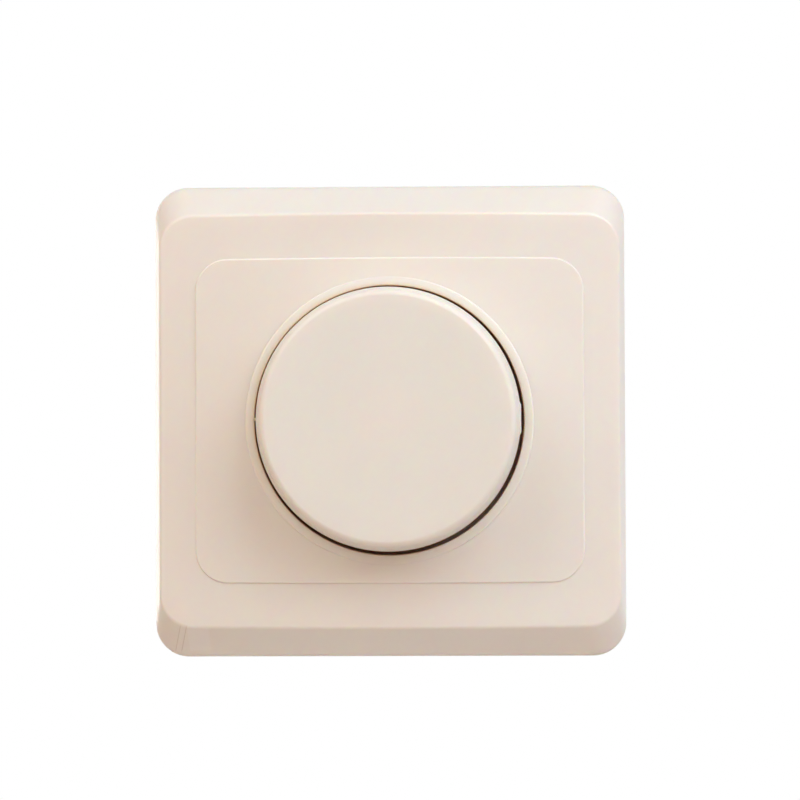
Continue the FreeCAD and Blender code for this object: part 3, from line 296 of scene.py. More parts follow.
def split_long(path, longest):
    """Adds even points on the long straight stretches of an open path."""
    pieces = []
    for start, end in zip(path[:-1], path[1:]):
        count = max(1, int(np.ceil(np.linalg.norm(end - start) / longest)))
        pieces.append(start + (end - start) * np.arange(count)[:, None] / count)
    return np.vstack(pieces + [path[-1:]])


def lathe(path, around):
    """Rows of points from a path of (radius, height), each row a circle about the knob's axis."""
    angles = np.arange(around) * 2 * np.pi / around
    radius, height = path[:, 0:1], path[:, 1:2]
    return np.stack([radius * np.cos(angles), height + 0 * angles, radius * np.sin(angles)], axis=-1)


# ---- cover plate ----

SIDE_STEPS, CORNER_STEPS = 40, 30
CORNER_SHARE = np.radians(16)
LIP_ROUND = 0.2
HOLE_EDGE = 0.2
RIM_ROUND = 0.2
# The collar's side falls this many times its width, and meets the panel in a fillet.
COLLAR_SLOPE = 12
FILLET = 0.12
COLLAR_FOOT = 1.25
# The panel's step is this wide, and its rings are spread this far to each side of it.
PANEL_STEP = 0.26
PANEL_REACH = 0.6
# Ribs of the cover and the knob: half their thickness, and how far they run into a wall.
RIB_HALF = 0.6
RIB_OVERLAP = 0.3
# Ribs of the cover only: height of their foot, how far they run into the well's tube, and how much
# shallower the two are that run to the sides, where the crown is lower.
RIB_FOOT = 4.5
RIB_INTO_TUBE = 0.4
SIDE_FALL = 3.0


def outline(width, tall, corner, inset=0.0):
    """A rounded rectangle as x and z, its corners drawn about the centres they have with no inset.

    Each corner is a quarter circle of the corner's radius less the inset. Points run evenly
    along each corner and each side, the same number on every outline.
    """
    radius = corner - inset
    centre_x, centre_z = width / 2 - corner, tall / 2 - corner
    points = []
    for turn, (sx, sz) in enumerate(((1, 1), (-1, 1), (-1, -1), (1, -1))):
        angles = np.pi / 2 * (turn + np.arange(CORNER_STEPS) / CORNER_STEPS)
        arc_x = sx * centre_x + radius * np.cos(angles)
        arc_z = sz * centre_z + radius * np.sin(angles)
        arc = np.stack([arc_x, arc_z], axis=-1)
        end = np.pi / 2 * (turn + 1)
        start = np.array([sx * centre_x + radius * np.cos(end), sz * centre_z + radius * np.sin(end)])
        nx, nz = ((-1, 1), (-1, -1), (1, -1), (1, 1))[turn]
        stop = np.array([nx * centre_x + radius * np.cos(end), nz * centre_z + radius * np.sin(end)])
        share = (np.arange(SIDE_STEPS) / SIDE_STEPS)[:, None]
        points += [arc, start + (stop - start) * share]
    return np.vstack(points)


def circle(radius):
    """A circle as x and z, with its points shared out like those of an outline."""
    angles = []
    for turn in range(4):
        middle = np.pi / 4 + np.pi / 2 * turn
        first, last = middle - CORNER_SHARE / 2, middle + CORNER_SHARE / 2
        angles.append(first + CORNER_SHARE * np.arange(CORNER_STEPS) / CORNER_STEPS)
        angles.append(last + (np.pi / 2 - CORNER_SHARE) * np.arange(SIDE_STEPS) / SIDE_STEPS)
    angles = np.concatenate(angles)
    return radius * np.stack([np.cos(angles), np.sin(angles)], axis=-1)


def crown(ring, crest, curve):
    """Height of the crowned face: a cylinder about an upright axis, highest in the middle."""
    return crest - curve + np.sqrt(curve**2 - ring[:, 0] ** 2)


def row(ring, height):
    """A ring of x and z at a height, or at its own height for each point."""
    return np.stack([ring[:, 0], np.broadcast_to(height, len(ring)), ring[:, 1]], axis=-1)


def ease(value):
    """Rises smoothly from 0 to 1 as the value does: three squares less two cubes."""
    value = np.clip(value, 0, 1)
    return value * value * (3 - 2 * value)


def collar_height(radius, s):
    """Height of the collar's turned surface: a gently crowned top, a round shoulder and a steep side.

    The crown falls as the square of the distance from its highest circle over twice its radius.
    """
    shoulder = s.collar_outer - s.collar_shoulder
    from_crest = np.minimum(radius, shoulder) - s.collar_crest
    crown_top = s.collar_top - from_crest**2 / (2 * s.collar_crown)
    over = np.clip(radius - shoulder, 0, s.collar_shoulder)
    drop = s.collar_shoulder - np.sqrt(s.collar_shoulder**2 - over**2)
    side = np.maximum(radius - s.collar_outer, 0) * COLLAR_SLOPE
    return crown_top - drop - side


def soft_top(a, b):
    """The higher of two heights, with a small fillet where they cross."""
    gap = np.abs(a - b)
    fillet = np.maximum(FILLET - gap, 0) ** 2 / (4 * FILLET)
    return np.maximum(a, b) + fillet


def well_rows(s):
    """Rows over the well's floor, up its wall and round the collar's inner lip."""
    floor = s.well_floor + s.floor_thick
    rows = [row(circle(s.hole), floor - HOLE_EDGE), row(circle(s.hole + HOLE_EDGE), floor)]
    for radius in np.linspace(s.hole + 2, s.well - 0.5, 9):
        rows.append(row(circle(radius), floor))
    rows.append(row(circle(s.well - 0.1), floor + 0.05))
    for height in np.linspace(floor + 0.4, s.collar_top - 0.4, 8):
        rows.append(row(circle(s.well), height))
    lip = collar_height(s.well + LIP_ROUND, s)
    for step in np.linspace(0, np.pi / 2, 6):
        radius = s.well + LIP_ROUND * (1 - np.cos(step))
        rows.append(row(circle(radius), lip - LIP_ROUND * (1 - np.sin(step))))
    return rows


def collar_rows(s):
    """Rows over the collar and down its side, close together where it bends."""
    rows = []
    shoulder = s.collar_outer - s.collar_shoulder
    side = [0.015, 0.03, 0.05, 0.07, 0.09, 0.11, 0.13, 0.15, 0.17, 0.2, 0.25, 0.3, 0.45, 0.75, COLLAR_FOOT]
    radii = np.concatenate([
        np.linspace(s.well + LIP_ROUND + 0.05, shoulder, 14),
        np.linspace(s.collar_outer - 0.9 * s.collar_shoulder, s.collar_outer, 10),
        s.collar_outer + np.array(side),
    ])
    for radius in radii:
        ring = circle(radius)
        face = crown(ring, s.crest + s.panel_raise, s.curve + s.panel_raise)
        rows.append(row(ring, soft_top(face, collar_height(radius, s))))
    return rows


def panel_rows(s):
    """Rows over the raised panel and its step, and on over the face to where its edge is rounded."""
    rows = []
    panel_in = outline(s.panel_width, s.panel_tall, s.panel_corner, PANEL_REACH)
    for share in np.linspace(0, 1, 15)[1:-1]:
        ring = circle(s.collar_outer + COLLAR_FOOT) * (1 - share) + panel_in * share
        rows.append(row(ring, crown(ring, s.crest + s.panel_raise, s.curve + s.panel_raise)))
    insets = np.concatenate([
        np.linspace(PANEL_REACH, 0.2, 4),
        np.linspace(0.17, -0.17, 13),
        np.linspace(-0.22, -PANEL_REACH, 4),
    ])
    for inset in insets:
        ring = outline(s.panel_width, s.panel_tall, s.panel_corner, inset)
        step = ease(0.5 + inset / PANEL_STEP)
        rows.append(row(ring, crown(ring, s.crest, s.curve) + s.panel_raise * step))
    panel_out = outline(s.panel_width, s.panel_tall, s.panel_corner, -PANEL_REACH)
    face_in = outline(s.face_width, s.face_tall, s.face_corner, s.edge_round)
    for share in np.linspace(0, 1, 11)[1:]:
        ring = panel_out * (1 - share) + face_in * share
        rows.append(row(ring, crown(ring, s.crest, s.curve)))
    return rows


def slope_rows(s, start):
    """Rows round the face's edge, as a quadratic curve from the start row, and down the sloping sides."""
    rows = []
    edge_ring = outline(s.face_width, s.face_tall, s.face_corner)
    edge_row = row(edge_ring, crown(edge_ring, s.crest, s.curve))
    base_row = row(outline(s.plate, s.plate, s.plate_corner), s.rim)
    slope = base_row - edge_row
    down = edge_row + slope * (s.edge_round / np.linalg.norm(slope, axis=1))[:, None]
    for share in np.linspace(0, 1, 9)[1:]:
        rows.append(start * (1 - share) ** 2 + 2 * edge_row * share * (1 - share) + down * share**2)
    for share in np.linspace(0, 1, 8)[1:-1]:
        rows.append(down * (1 - share) + base_row * share)
    return rows


def cover_front_rows(s):
    """Rows from the well's floor over the collar, panel and face to the plate's rim on the wall."""
    rows = well_rows(s) + collar_rows(s) + panel_rows(s)
    return rows + slope_rows(s, rows[-1])


def cover_back_rows(s):
    """Rows from the plate's rim on the wall round the hollow inside to the back of the well's floor."""
    rows = []
    for height in (s.rim, s.rim - 0.12, s.rim / 2, RIM_ROUND):
        rows.append(row(outline(s.plate, s.plate, s.plate_corner), height))
    for step in np.linspace(0, np.pi / 2, 4)[1:]:
        ring = outline(s.plate, s.plate, s.plate_corner, RIM_ROUND - RIM_ROUND * np.cos(step))
        rows.append(row(ring, RIM_ROUND - RIM_ROUND * np.sin(step)))
    inside = s.plate - 2 * s.wall
    inner = dict(width=inside, tall=inside, corner=s.plate_corner - s.wall)
    rows.append(row(outline(**inner, inset=-RIM_ROUND), 0.0))
    rows.append(row(outline(**inner), RIM_ROUND))
    rows.append(row(outline(**inner), s.rim))
    crest, curve = s.crest - s.wall, s.curve - s.wall
    base_row = rows[-1]
    ceiling = outline(s.face_width - 2 * s.wall, s.face_tall - 2 * s.wall, s.face_corner - s.wall)
    top_row = row(ceiling, crown(ceiling, crest, curve))
    for share in np.linspace(0, 1, 6)[1:]:
        rows.append(base_row * (1 - share) + top_row * share)
    for share in np.linspace(0, 1, 12)[1:]:
        ring = ceiling * (1 - share) + circle(s.tube + 0.3) * share
        rows.append(row(ring, crown(ring, crest, curve)))
    tube_ring = circle(s.tube)
    tube_top = crown(tube_ring, crest, curve) - 0.3
    for share in np.linspace(0, 1, 6):
        rows.append(row(tube_ring, tube_top * (1 - share) + (s.well_floor + 0.2) * share))
    rows.append(row(circle(s.tube - 0.2), s.well_floor))
    for radius in np.linspace(s.tube - 1.5, s.hole + 0.4, 8):
        rows.append(row(circle(radius), s.well_floor))
    rows.append(row(circle(s.hole), s.well_floor + 0.2))
    return rows


def cover_shell(s):
    """The whole cover as one closed surface of rings, with four ribs across its hollow."""
    shell = Shell().grid(cover_front_rows(s) + cover_back_rows(s), close_rows=True)
    for turn in range(4):
        sideways = turn % 2 == 0
        reach = (s.face_width if sideways else s.face_tall) / 2 - s.wall + RIB_OVERLAP
        ceiling = s.crest - s.wall - (SIDE_FALL if sideways else 0.0)
        low = (s.tube - RIB_INTO_TUBE, RIB_FOOT, -RIB_HALF)
        high = (reach, ceiling + RIB_OVERLAP, RIB_HALF)
        shell.join(Shell().box(low, high).turn(np.pi / 2 * turn))
    return shell


# ---- knob ----

GATE_HALF, GATE_HIGH = 2.6, 1.5
# The gate's upper edge is drawn by two circles this far above and below it.
GATE_EDGE = 0.1
# Roundings of the knob's corners after the front edge, in the order of the corners in knob_shell.
KNOB_ROUNDS = (0, 0, 1.2, 0.25, 0.25, 0.5, 0.6, 0.4, 0.25, 0.2, 0.1)
ROUND_STEPS = 10
LONGEST = 1.6
AROUND = 240
# Points nearer the axis than this are on it.
ON_AXIS = 1e-6
KNOB_RIB_REACH = 6
PIP_HALF = 0.25
PIP_PROUD = 0.3


def gate_mark(rows, s):
    """Flattens the right of the waist, where the moulding's gate was cut, just proud of the taper."""
    x, height, z = rows[..., 0], rows[..., 1], rows[..., 2]
    beside = (x > s.base - 1) & (np.abs(z) < GATE_HALF)
    near = beside & (height > s.waist - 0.4) & (height < s.waist + GATE_HIGH)
    rows[..., 0] = np.where(near, np.maximum(x, s.base - 0.02), x)
    return rows


def knob_shell(s):
    """A hollow cap turned about its axis, with ribs from its hub to its wall.

    The closed path runs from the middle of the front round the edge, down the taper and the
    skirt, and back up inside to the hub and its bore. The moulding leaves a cut gate on the right
    of the waist and a pip on the left of the skirt.
    """
    ceiling = s.front - s.wall
    taper = (s.base - s.face) / (s.front - s.waist)
    corners = [
        (s.face, s.front),
        (s.base - taper * (GATE_HIGH + GATE_EDGE), s.waist + GATE_HIGH + GATE_EDGE),
        (s.base - taper * (GATE_HIGH - GATE_EDGE), s.waist + GATE_HIGH - GATE_EDGE),
        (s.base, s.waist),
        (s.base, s.skirt),
        (s.base - s.wall, s.skirt),
        (s.base - s.wall, s.waist),
        (s.face - s.wall, ceiling),
        (s.hub, ceiling),
        (s.hub, s.hub_end),
        (s.bore, s.hub_end),
        (s.bore, s.bore_end),
    ]
    corners = [(0, s.front)] + corners + [(0, s.bore_end)]
    path = split_long(rounded_path(corners, (0, s.edge) + KNOB_ROUNDS + (0,), ROUND_STEPS), LONGEST)
    path = path[path[:, 0] > ON_AXIS]
    shell = Shell().grid(gate_mark(lathe(path, AROUND), s))
    low = (s.hub - RIB_OVERLAP, s.front - KNOB_RIB_REACH, -RIB_HALF)
    high = (s.face - s.wall + 0.25, ceiling + RIB_OVERLAP, RIB_HALF)
    for number in range(s.ribs):
        shell.join(Shell().box(low, high).turn(2 * np.pi * number / s.ribs))
    low = (s.base - PIP_PROUD, s.waist - 1.6, -PIP_HALF)
    high = (s.base + PIP_PROUD, s.waist - 0.3, PIP_HALF)
    shell.join(Shell().box(low, high).turn(np.pi))
    return shell


# ---- finishes ----

class Value:
    """One output socket of a finish. Arithmetic on it adds Math nodes."""

    def __init__(self, finish, socket):
        self.finish = finish
        self.socket = socket

    def maths(self, operation, *others):
        """Adds a Math node with this value first and the others after it."""
        sockets = dict(enumerate((self,) + others))
        return self.finish.node("ShaderNodeMath", {"operation": operation}, sockets)

    def __add__(self, other):
        return self.maths("ADD", other)

    def __radd__(self, other):
        return self.maths("ADD", other)

    def __sub__(self, other):
        return self.maths("SUBTRACT", other)

    def __rsub__(self, other):
        return self.finish.node("ShaderNodeMath", {"operation": "SUBTRACT"}, {0: other, 1: self})

    def __mul__(self, other):
        return self.maths("MULTIPLY", other)

    def __pow__(self, other):
        return self.maths("POWER", other)

    def size(self):
        """The value without its sign."""
        return self.maths("ABSOLUTE")

    def between(self, low, high, out_low=0.0, out_high=1.0):
        """Goes smoothly from out_low to out_high as the value goes from low to high."""
        return self.finish.node(
            "ShaderNodeMapRange",
            {"interpolation_type": "SMOOTHSTEP"},
            {"Value": self, "From Min": low, "From Max": high, "To Min": out_low, "To Max": out_high},
        )


class Finish:
    """A material whose nodes are made through one method."""

    def __init__(self, name):
        self.material = bpy.data.materials.new(name)
        self.material.use_nodes = True
        self.tree = self.material.node_tree
        self.surface = self.tree.nodes["Principled BSDF"]

    def node(self, kind, settings=None, sockets=None, out=0):
        """Adds a node, sets it up, fills or links its sockets and gives back one output."""
        made = self.tree.nodes.new(kind)
        for name, value in (settings or {}).items():
            setattr(made, name, value)
        for name, value in (sockets or {}).items():
            self.plug(made.inputs[name], value)
        return Value(self, made.outputs[out])

    def plug(self, socket, value):
        """Links a value to a socket, or sets the socket to a plain number or colour."""
        if isinstance(value, Value):
            self.tree.links.new(value.socket, socket)
        else:
            socket.default_value = value

    def set(self, **sockets):
        """Fills or links the surface's own sockets, named with underscores for spaces."""
        for name, value in sockets.items():
            self.plug(self.surface.inputs[name.replace("_", " ")], value)
        return self

    def place(self):
        """Object coordinates, in metres."""
        return self.node("ShaderNodeTexCoord", out=3)

    def axes(self):
        """Object X, Y and Z, in metres."""
        split = self.tree.nodes.new("ShaderNodeSeparateXYZ")
        self.plug(split.inputs[0], self.place())
        return [Value(self, output) for output in split.outputs]

    def stretched(self, scale, turn=(0.0, 0.0, 0.0)):
        """Object coordinates scaled by three factors and turned."""
        sockets = {"Vector": self.place(), "Scale": scale, "Rotation": turn}
        return self.node("ShaderNodeMapping", {}, sockets)

    def noise(self, scale, detail=3.0, where=None):
        """Soft noise from 0 to 1, at this many cells to the metre."""
        sockets = {"Vector": where or self.place(), "Scale": scale, "Detail": detail}
        return self.node("ShaderNodeTexNoise", {}, sockets)

    def specks(self, scale, where=None):
        """Distance from the nearest of many scattered points."""
        return self.node("ShaderNodeTexVoronoi", {}, {"Vector": where or self.place(), "Scale": scale})

    def mix(self, share, first, second):
        """Mixes two colours."""
        made = self.tree.nodes.new("ShaderNodeMix")
        made.data_type = "RGBA"
        for index, value in ((0, share), (6, first), (7, second)):
            if index > 0 and not isinstance(value, Value):
                value = (*value, 1.0)
            self.plug(made.inputs[index], value)
        return Value(self, made.outputs[2])

    def bump(self, height, strength, distance, under=None):
        """A normal bent by a height, over another normal if one is given."""
        sockets = {"Height": height, "Strength": strength, "Distance": distance}
        if under is not None:
            sockets["Normal"] = under
        return self.node("ShaderNodeBump", {}, sockets)


def shade(colour, factor):
    """A colour made lighter or darker."""
    return tuple(channel * factor for channel in colour)


def ivory_plastic(name, colour, marks):
    """Satin ivory thermoplastic: faint clouding, a fine orange-peel surface, dust and hairline rubs."""
    finish = Finish(name)
    clouds = finish.noise(38, 4.0)
    patches = finish.noise(150, 3.0)
    tone = clouds.between(0.3, 0.7) * 0.6 + patches.between(0.3, 0.7) * 0.4
    base = finish.mix(tone, shade(colour, 0.985), shade(colour, 1.0))
    dust = finish.specks(900).between(0.03, 0.01) * finish.noise(120).between(0.56, 0.66)
    base = finish.mix(dust * 0.25, base, shade(colour, 0.72))
    along = finish.stretched((1.0, 8.0, 26.0), (0.4, 0.7, 0.2))
    rubs = finish.noise(60, 2.0, where=along).between(0.72, 0.78)
    rough = 0.35 + tone * 0.05 + rubs * 0.06
    peel = finish.noise(1300, 2.0)
    waves = finish.noise(160, 1.0)
    height = peel * 0.25 + waves * 0.75
    normal = finish.bump(height, 0.05, 0.0003)
    base, rough, normal = marks(finish, base, rough, normal)
    finish.set(Base_Color=base, Roughness=rough, Normal=normal)
    finish.set(
        Subsurface_Weight=0.6, Subsurface_Radius=(1.0, 0.45, 0.20), Subsurface_Scale=0.0020, IOR=1.5
    )
    return finish.material


# Painted shade: a dark orange-brown given to the knob's skirt and to the well, which lie in shade down the
# gap.
PAINTED_SHADE_IVORY = (0.62, 0.30, 0.09)
# Painted warm bounce light for the collar's inner lip beside the gap.
PAINTED_GLOW_IVORY = (0.90, 0.72, 0.50)
SCRATCHED_IVORY = (0.50, 0.36, 0.24)
RUBBED_IVORY = (0.90, 0.86, 0.82)
# Marks fade in from the first to the second of two places, in metres.
SKIRT_DEPTH = (-0.0112, -0.0102)
WELL_RADIUS, WELL_DEPTH = (0.02275, 0.02262), (-0.0104, -0.0100)
LIP_RADIUS, LIP_DEPTH = (0.0232, 0.0226), (-0.0100, -0.0102)
SLOPE_TOP, SLOPE_FOOT = (-0.0345, -0.0352), (-0.0400, -0.0393)
PATCH_LEFT, PATCH_RIGHT = (-0.0344, -0.0341), (-0.0302, -0.0309)
# The scratches cross the height SCRATCH_LEVEL at these places, and lean by the slant.
SCRATCHES = (-0.0362, -0.0351)
SCRATCH_LEVEL = 0.0375
SCRATCH_SLANT = 0.32
SCRATCH_WIDTH = (0.00010, 0.00003)


def radius_from_axis(x, z):
    """Distance from the knob's axis, in metres."""
    return (x * x + z * z) ** 0.5


def knob_painted_shade(finish, base, rough, normal):
    """Painted shade on the knob's skirt, down in the well: a darker orange-brown colour there, and a
    rougher surface.
    """
    _, y, _ = finish.axes()
    # Painted shade: below this depth the skirt takes the dark shaded colour.
    skirt = y.between(*SKIRT_DEPTH)
    return finish.mix(skirt * 0.8, base, PAINTED_SHADE_IVORY), rough + skirt * 0.15, normal


def cover_painted_light_and_scuffs(finish, base, rough, normal):
    """Painted shade in the well, a painted warm bounce light on the collar's lip beside the gap, and
    scuffs on the lower left slope.
    """
    x, y, z = finish.axes()
    radius = radius_from_axis(x, z)
    # Painted shade: inside the well's radius and below its rim the cover takes the dark shaded colour.
    inside = radius.between(*WELL_RADIUS) * y.between(*WELL_DEPTH)
    # Painted warm bounce light: an orange tint on the collar's inner lip, where light bounces and scatters
    # beside the shaded gap.
    painted_glow = radius.between(*LIP_RADIUS) * y.between(*LIP_DEPTH)
    base = finish.mix(painted_glow * 0.45, base, PAINTED_GLOW_IVORY)
    # Paints the shade into the well.
    base = finish.mix(inside * 0.8, base, PAINTED_SHADE_IVORY)
    return scuffs(finish, x, z, base, rough, normal)


def scuffs(finish, x, z, base, rough, normal):
    """Two thin slanting scratches and a rubbed patch on the cover's lower left slope."""
    low = z.between(*SLOPE_TOP) * z.between(*SLOPE_FOOT)
    scratches = None
    for middle in SCRATCHES:
        line = (x - middle - (z + SCRATCH_LEVEL) * SCRATCH_SLANT).size().between(*SCRATCH_WIDTH)
        scratches = line if scratches is None else scratches.maths("MAXIMUM", line)
    scratches = scratches * low
    patch = x.between(*PATCH_LEFT) * x.between(*PATCH_RIGHT) * low
    base = finish.mix(scratches * 0.40, base, SCRATCHED_IVORY)
    base = finish.mix(patch * 0.45, base, RUBBED_IVORY)
    rough = rough + patch * 0.12
    return base, rough, finish.bump(scratches * -1.0, 0.35, 0.0002, normal)


def moulded_plastic(name, colour, rough=0.5, grain=700, spread=0.12):
    """Pressed plastic: flow clouds, a fine even grain and slight wear of the shine."""
    finish = Finish(name)
    flow = finish.noise(90, 5.0, where=finish.stretched((1.0, 1.0, 2.5)))
    fine = finish.noise(grain, 3.0)
    tone = flow.between(0.25, 0.75) * 0.7 + fine.between(0.3, 0.7) * 0.3
    base = finish.mix(tone, shade(colour, 1 - spread), shade(colour, 1 + spread / 2))
    height = fine * 0.7 + flow * 0.3
    finish.set(
        Base_Color=base,
        Roughness=rough - 0.06 + tone * 0.12,
        Normal=finish.bump(height, 0.25, 0.00008),
    )
    return finish.material


def sheet_metal(name, colour, rough=0.32, brush=(1.0, 1.0, 30.0), stain=(0.45, 0.40, 0.33)):
    """Plated or bare sheet: rolling lines, spangled reflections and a little tarnish."""
    finish = Finish(name)
    lines = finish.noise(220, 4.0, where=finish.stretched(brush))
    spangle = finish.specks(420)
    cloud = finish.noise(70, 4.0)
    tarnish = cloud.between(0.55, 0.72) * finish.noise(300, 3.0).between(0.4, 0.6)
    tone = lines.between(0.3, 0.7) * 0.6 + spangle.between(0.0, 0.6) * 0.4
    base = finish.mix(tone, shade(colour, 0.86), shade(colour, 1.04))
    base = finish.mix(tarnish * 0.35, base, stain)
    finish.set(
        Base_Color=base,
        Metallic=1.0 - tarnish * 0.3,
        Roughness=rough + tone * 0.1 + tarnish * 0.2,
        Normal=finish.bump(lines, 0.15, 0.00005),
    )
    return finish.material


def lacquered(name, colour, rough=0.18, metal=0.0, coat=0.6):
    """A glossy dipped or enamelled coat: uneven thickness, small pits and soft ripples."""
    finish = Finish(name)
    ripple = finish.noise(260, 2.0)
    pits = finish.specks(1600).between(0.05, 0.15)
    tone = ripple.between(0.3, 0.7)
    base = finish.mix(tone, shade(colour, 0.8), shade(colour, 1.1))
    base = finish.mix((1 - pits) * 0.5, base, shade(colour, 0.4))
    finish.set(
        Base_Color=base,
        Metallic=metal,
        Roughness=rough + tone * 0.06,
        Normal=finish.bump(ripple, 0.2, 0.0001),
        Coat_Weight=coat,
        Coat_Roughness=0.08,
    )
    return finish.material


def clear_glass(name):
    """Thin fuse glass with faint drawing lines."""
    finish = Finish(name)
    lines = finish.noise(120, 2.0, where=finish.stretched((0.1, 8.0, 8.0)))
    base = finish.mix(lines, (0.90, 0.95, 0.93), (0.97, 1.0, 0.98))
    finish.set(Base_Color=base, Roughness=0.03 + lines * 0.03, Transmission_Weight=0.9, IOR=1.5)
    return finish.material


def laminate(name):
    """Circuit-board laminate with its weave under a green-brown resin."""
    finish = Finish(name)
    bands = []
    for direction in ("X", "Z"):
        sockets = {"Vector": finish.place(), "Scale": 420.0, "Distortion": 0.6}
        bands.append(finish.node("ShaderNodeTexWave", {"bands_direction": direction}, sockets))
    threads = bands[0] * bands[1]
    base = finish.mix(threads.between(0.2, 0.8), (0.33, 0.22, 0.08), (0.46, 0.33, 0.14))
    normal = finish.bump(threads, 0.2, 0.00005)
    finish.set(Base_Color=base, Roughness=0.32 + threads * 0.1, Normal=normal)
    return finish.material


STEEL = (0.62, 0.62, 0.60)
BRASS = (0.78, 0.62, 0.33)
ALUMINIUM = (0.78, 0.78, 0.79)
# How far the brushing is stretched along X, Y and Z.
ACROSS, ALONG, SIDEWAYS = (1.0, 12.0, 1.0), (1.0, 30.0, 1.0), (20.0, 1.0, 1.0)

SLOT_FINISHES = {
    "grey_moulding": lambda name: moulded_plastic(name, (0.30, 0.30, 0.29), 0.48),
    "zinc_steel": lambda name: sheet_metal(name, STEEL),
    "nickelled_brass": lambda name: sheet_metal(name, BRASS, 0.26, ACROSS, (0.35, 0.22, 0.08)),
    "spring_steel": lambda name: sheet_metal(name, (0.42, 0.42, 0.43), 0.22),
    "aluminium_shaft": lambda name: sheet_metal(name, ALUMINIUM, 0.3, ALONG, (0.5, 0.5, 0.5)),
    "phenolic": lambda name: moulded_plastic(name, (0.10, 0.045, 0.018), 0.42, 500, 0.35),
    "red_plastic": lambda name: moulded_plastic(name, (0.45, 0.03, 0.02), 0.35),
    "carbon": lambda name: moulded_plastic(name, (0.012, 0.012, 0.012), 0.6, 1500, 0.4),
    "board_laminate": laminate,
    "black_epoxy": lambda name: moulded_plastic(name, (0.016, 0.016, 0.017), 0.5, 1200, 0.3),
    "mica": lambda name: lacquered(name, (0.55, 0.50, 0.38), 0.25),
    "enamelled_copper": lambda name: lacquered(name, (0.52, 0.16, 0.05), 0.2, 0.8),
    "fuse_tube_glass": clear_glass,
    "tinned_metal": lambda name: sheet_metal(name, (0.75, 0.75, 0.74), 0.2, SIDEWAYS),
    "capacitor_case": lambda name: moulded_plastic(name, (0.65, 0.40, 0.03), 0.35),
    "capacitor_dip": lambda name: lacquered(name, (0.30, 0.05, 0.02)),
    "resistor_lacquer": lambda name: lacquered(name, (0.52, 0.36, 0.19)),
    "diode_glass": lambda name: lacquered(name, (0.06, 0.12, 0.35)),
}


def wear(piece, material):
    """Gives a piece its only material."""
    piece.data.materials.clear()
    piece.data.materials.append(material)


# ---- operators ----

class DIMMER_OT_cover(bpy.types.Operator):
    """Build the crowned cover plate with its collar and well"""

    bl_idname = "dimmer.cover"
    bl_label = "Build Cover Plate"

    def execute(self, context):
        settings = context.scene.dimmer_cover
        centre = ((COVER_LOW[0] + COVER_HIGH[0]) / 2, (COVER_LOW[2] + COVER_HIGH[2]) / 2)
        piece = cover_shell(settings).build("cover_plate_moulding", centre)
        wear(piece, ivory_plastic("ivory_cover", context.scene.dimmer_colours.ivory, cover_painted_light_and_scuffs))
        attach(piece, "dimmer_body")
        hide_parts("cover_plate")
        return {"FINISHED"}


class DIMMER_OT_knob(bpy.types.Operator):
    """Build the hollow knob with its hub and ribs"""

    bl_idname = "dimmer.knob"
    bl_label = "Build Knob"

    def execute(self, context):
        piece = knob_shell(context.scene.dimmer_knob).build("knob_moulding")
        wear(piece, ivory_plastic("ivory_knob", context.scene.dimmer_colours.ivory, knob_painted_shade))
        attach(piece, "knob_and_shaft")
        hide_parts("knob")
        return {"FINISHED"}


class DIMMER_OT_insert(bpy.types.Operator):
    """Finish the frame, base, terminals and electronics behind the cover"""

    bl_idname = "dimmer.insert"
    bl_label = "Finish Insert"

    def execute(self, context):
        finishes = {slot: make(slot) for slot, make in SLOT_FINISHES.items()}
        for part in frame["record"]["subparts"]:
            slot = part["material_slot"]
            if slot in finishes:
                wear(frame["nodes"][part["node"]], finishes[slot])
        return {"FINISHED"}


# Each light's name, place, side, power in watts and colour. All of them face the object.
LIGHTS = (
    ("key_light", (0.42, -0.45, 0.55), 0.70, 5.50, (0.77, 0.90, 1.0)),
    ("corner_light", (-0.45, -0.40, 0.50), 0.60, 3.00, (0.88, 0.96, 1.0)),
    ("right_light", (0.75, -0.25, 0.05), 0.60, 1.92, (0.83, 0.90, 1.0)),
    ("left_light", (-0.75, -0.25, 0.05), 0.60, 1.10, (1.0, 0.75, 0.52)),
    ("front_light", (0.05, -0.75, 0.0), 1.00, 1.42, (1.0, 0.78, 0.68)),
    ("back_light", (-0.20, 0.75, 0.15), 0.70, 3.0, (1.0, 0.98, 0.95)),
)
# The sky's glow on the object: from the room's side, and from behind the plate, where reflections
# see it brighter. One turns into the other between two directions along Y.
AMBIENT = (0.144, 0.080, 0.045)
BACKDROP = (0.15, 0.15, 0.15)
BACKDROP_SHINE = (1.1, 1.08, 1.05)
BACKDROP_FROM, BACKDROP_FULL = 0.35, 0.75
# The floor, in metres: radius, drop below the plate, and the radii where it starts and ends fading in.
FLOOR_SIDES = 96
FLOOR_RADIUS = 0.3
FLOOR_DROP = 0.16
FLOOR_FADE = (0.29, 0.12)
FLOOR_TONES = (0.90, 0.87, 0.82), (0.93, 0.90, 0.85)
SENSOR_WIDTH = 36.0
CAMERA_SHIFT = (0.0123, 0.0263)


def area_light(name, place, width, power, colour):
    """A soft square light that faces the object."""
    data = bpy.data.lights.new(name, "AREA")
    data.shape = "SQUARE"
    data.size = width
    data.energy = power
    data.color = colour
    light = bpy.data.objects.new(name, data)
    light.location = place
    light.rotation_mode = "QUATERNION"
    light.rotation_quaternion = (-Vector(place)).to_track_quat("-Z", "Y")
    light.visible_camera = False
    bpy.context.scene.collection.objects.link(light)


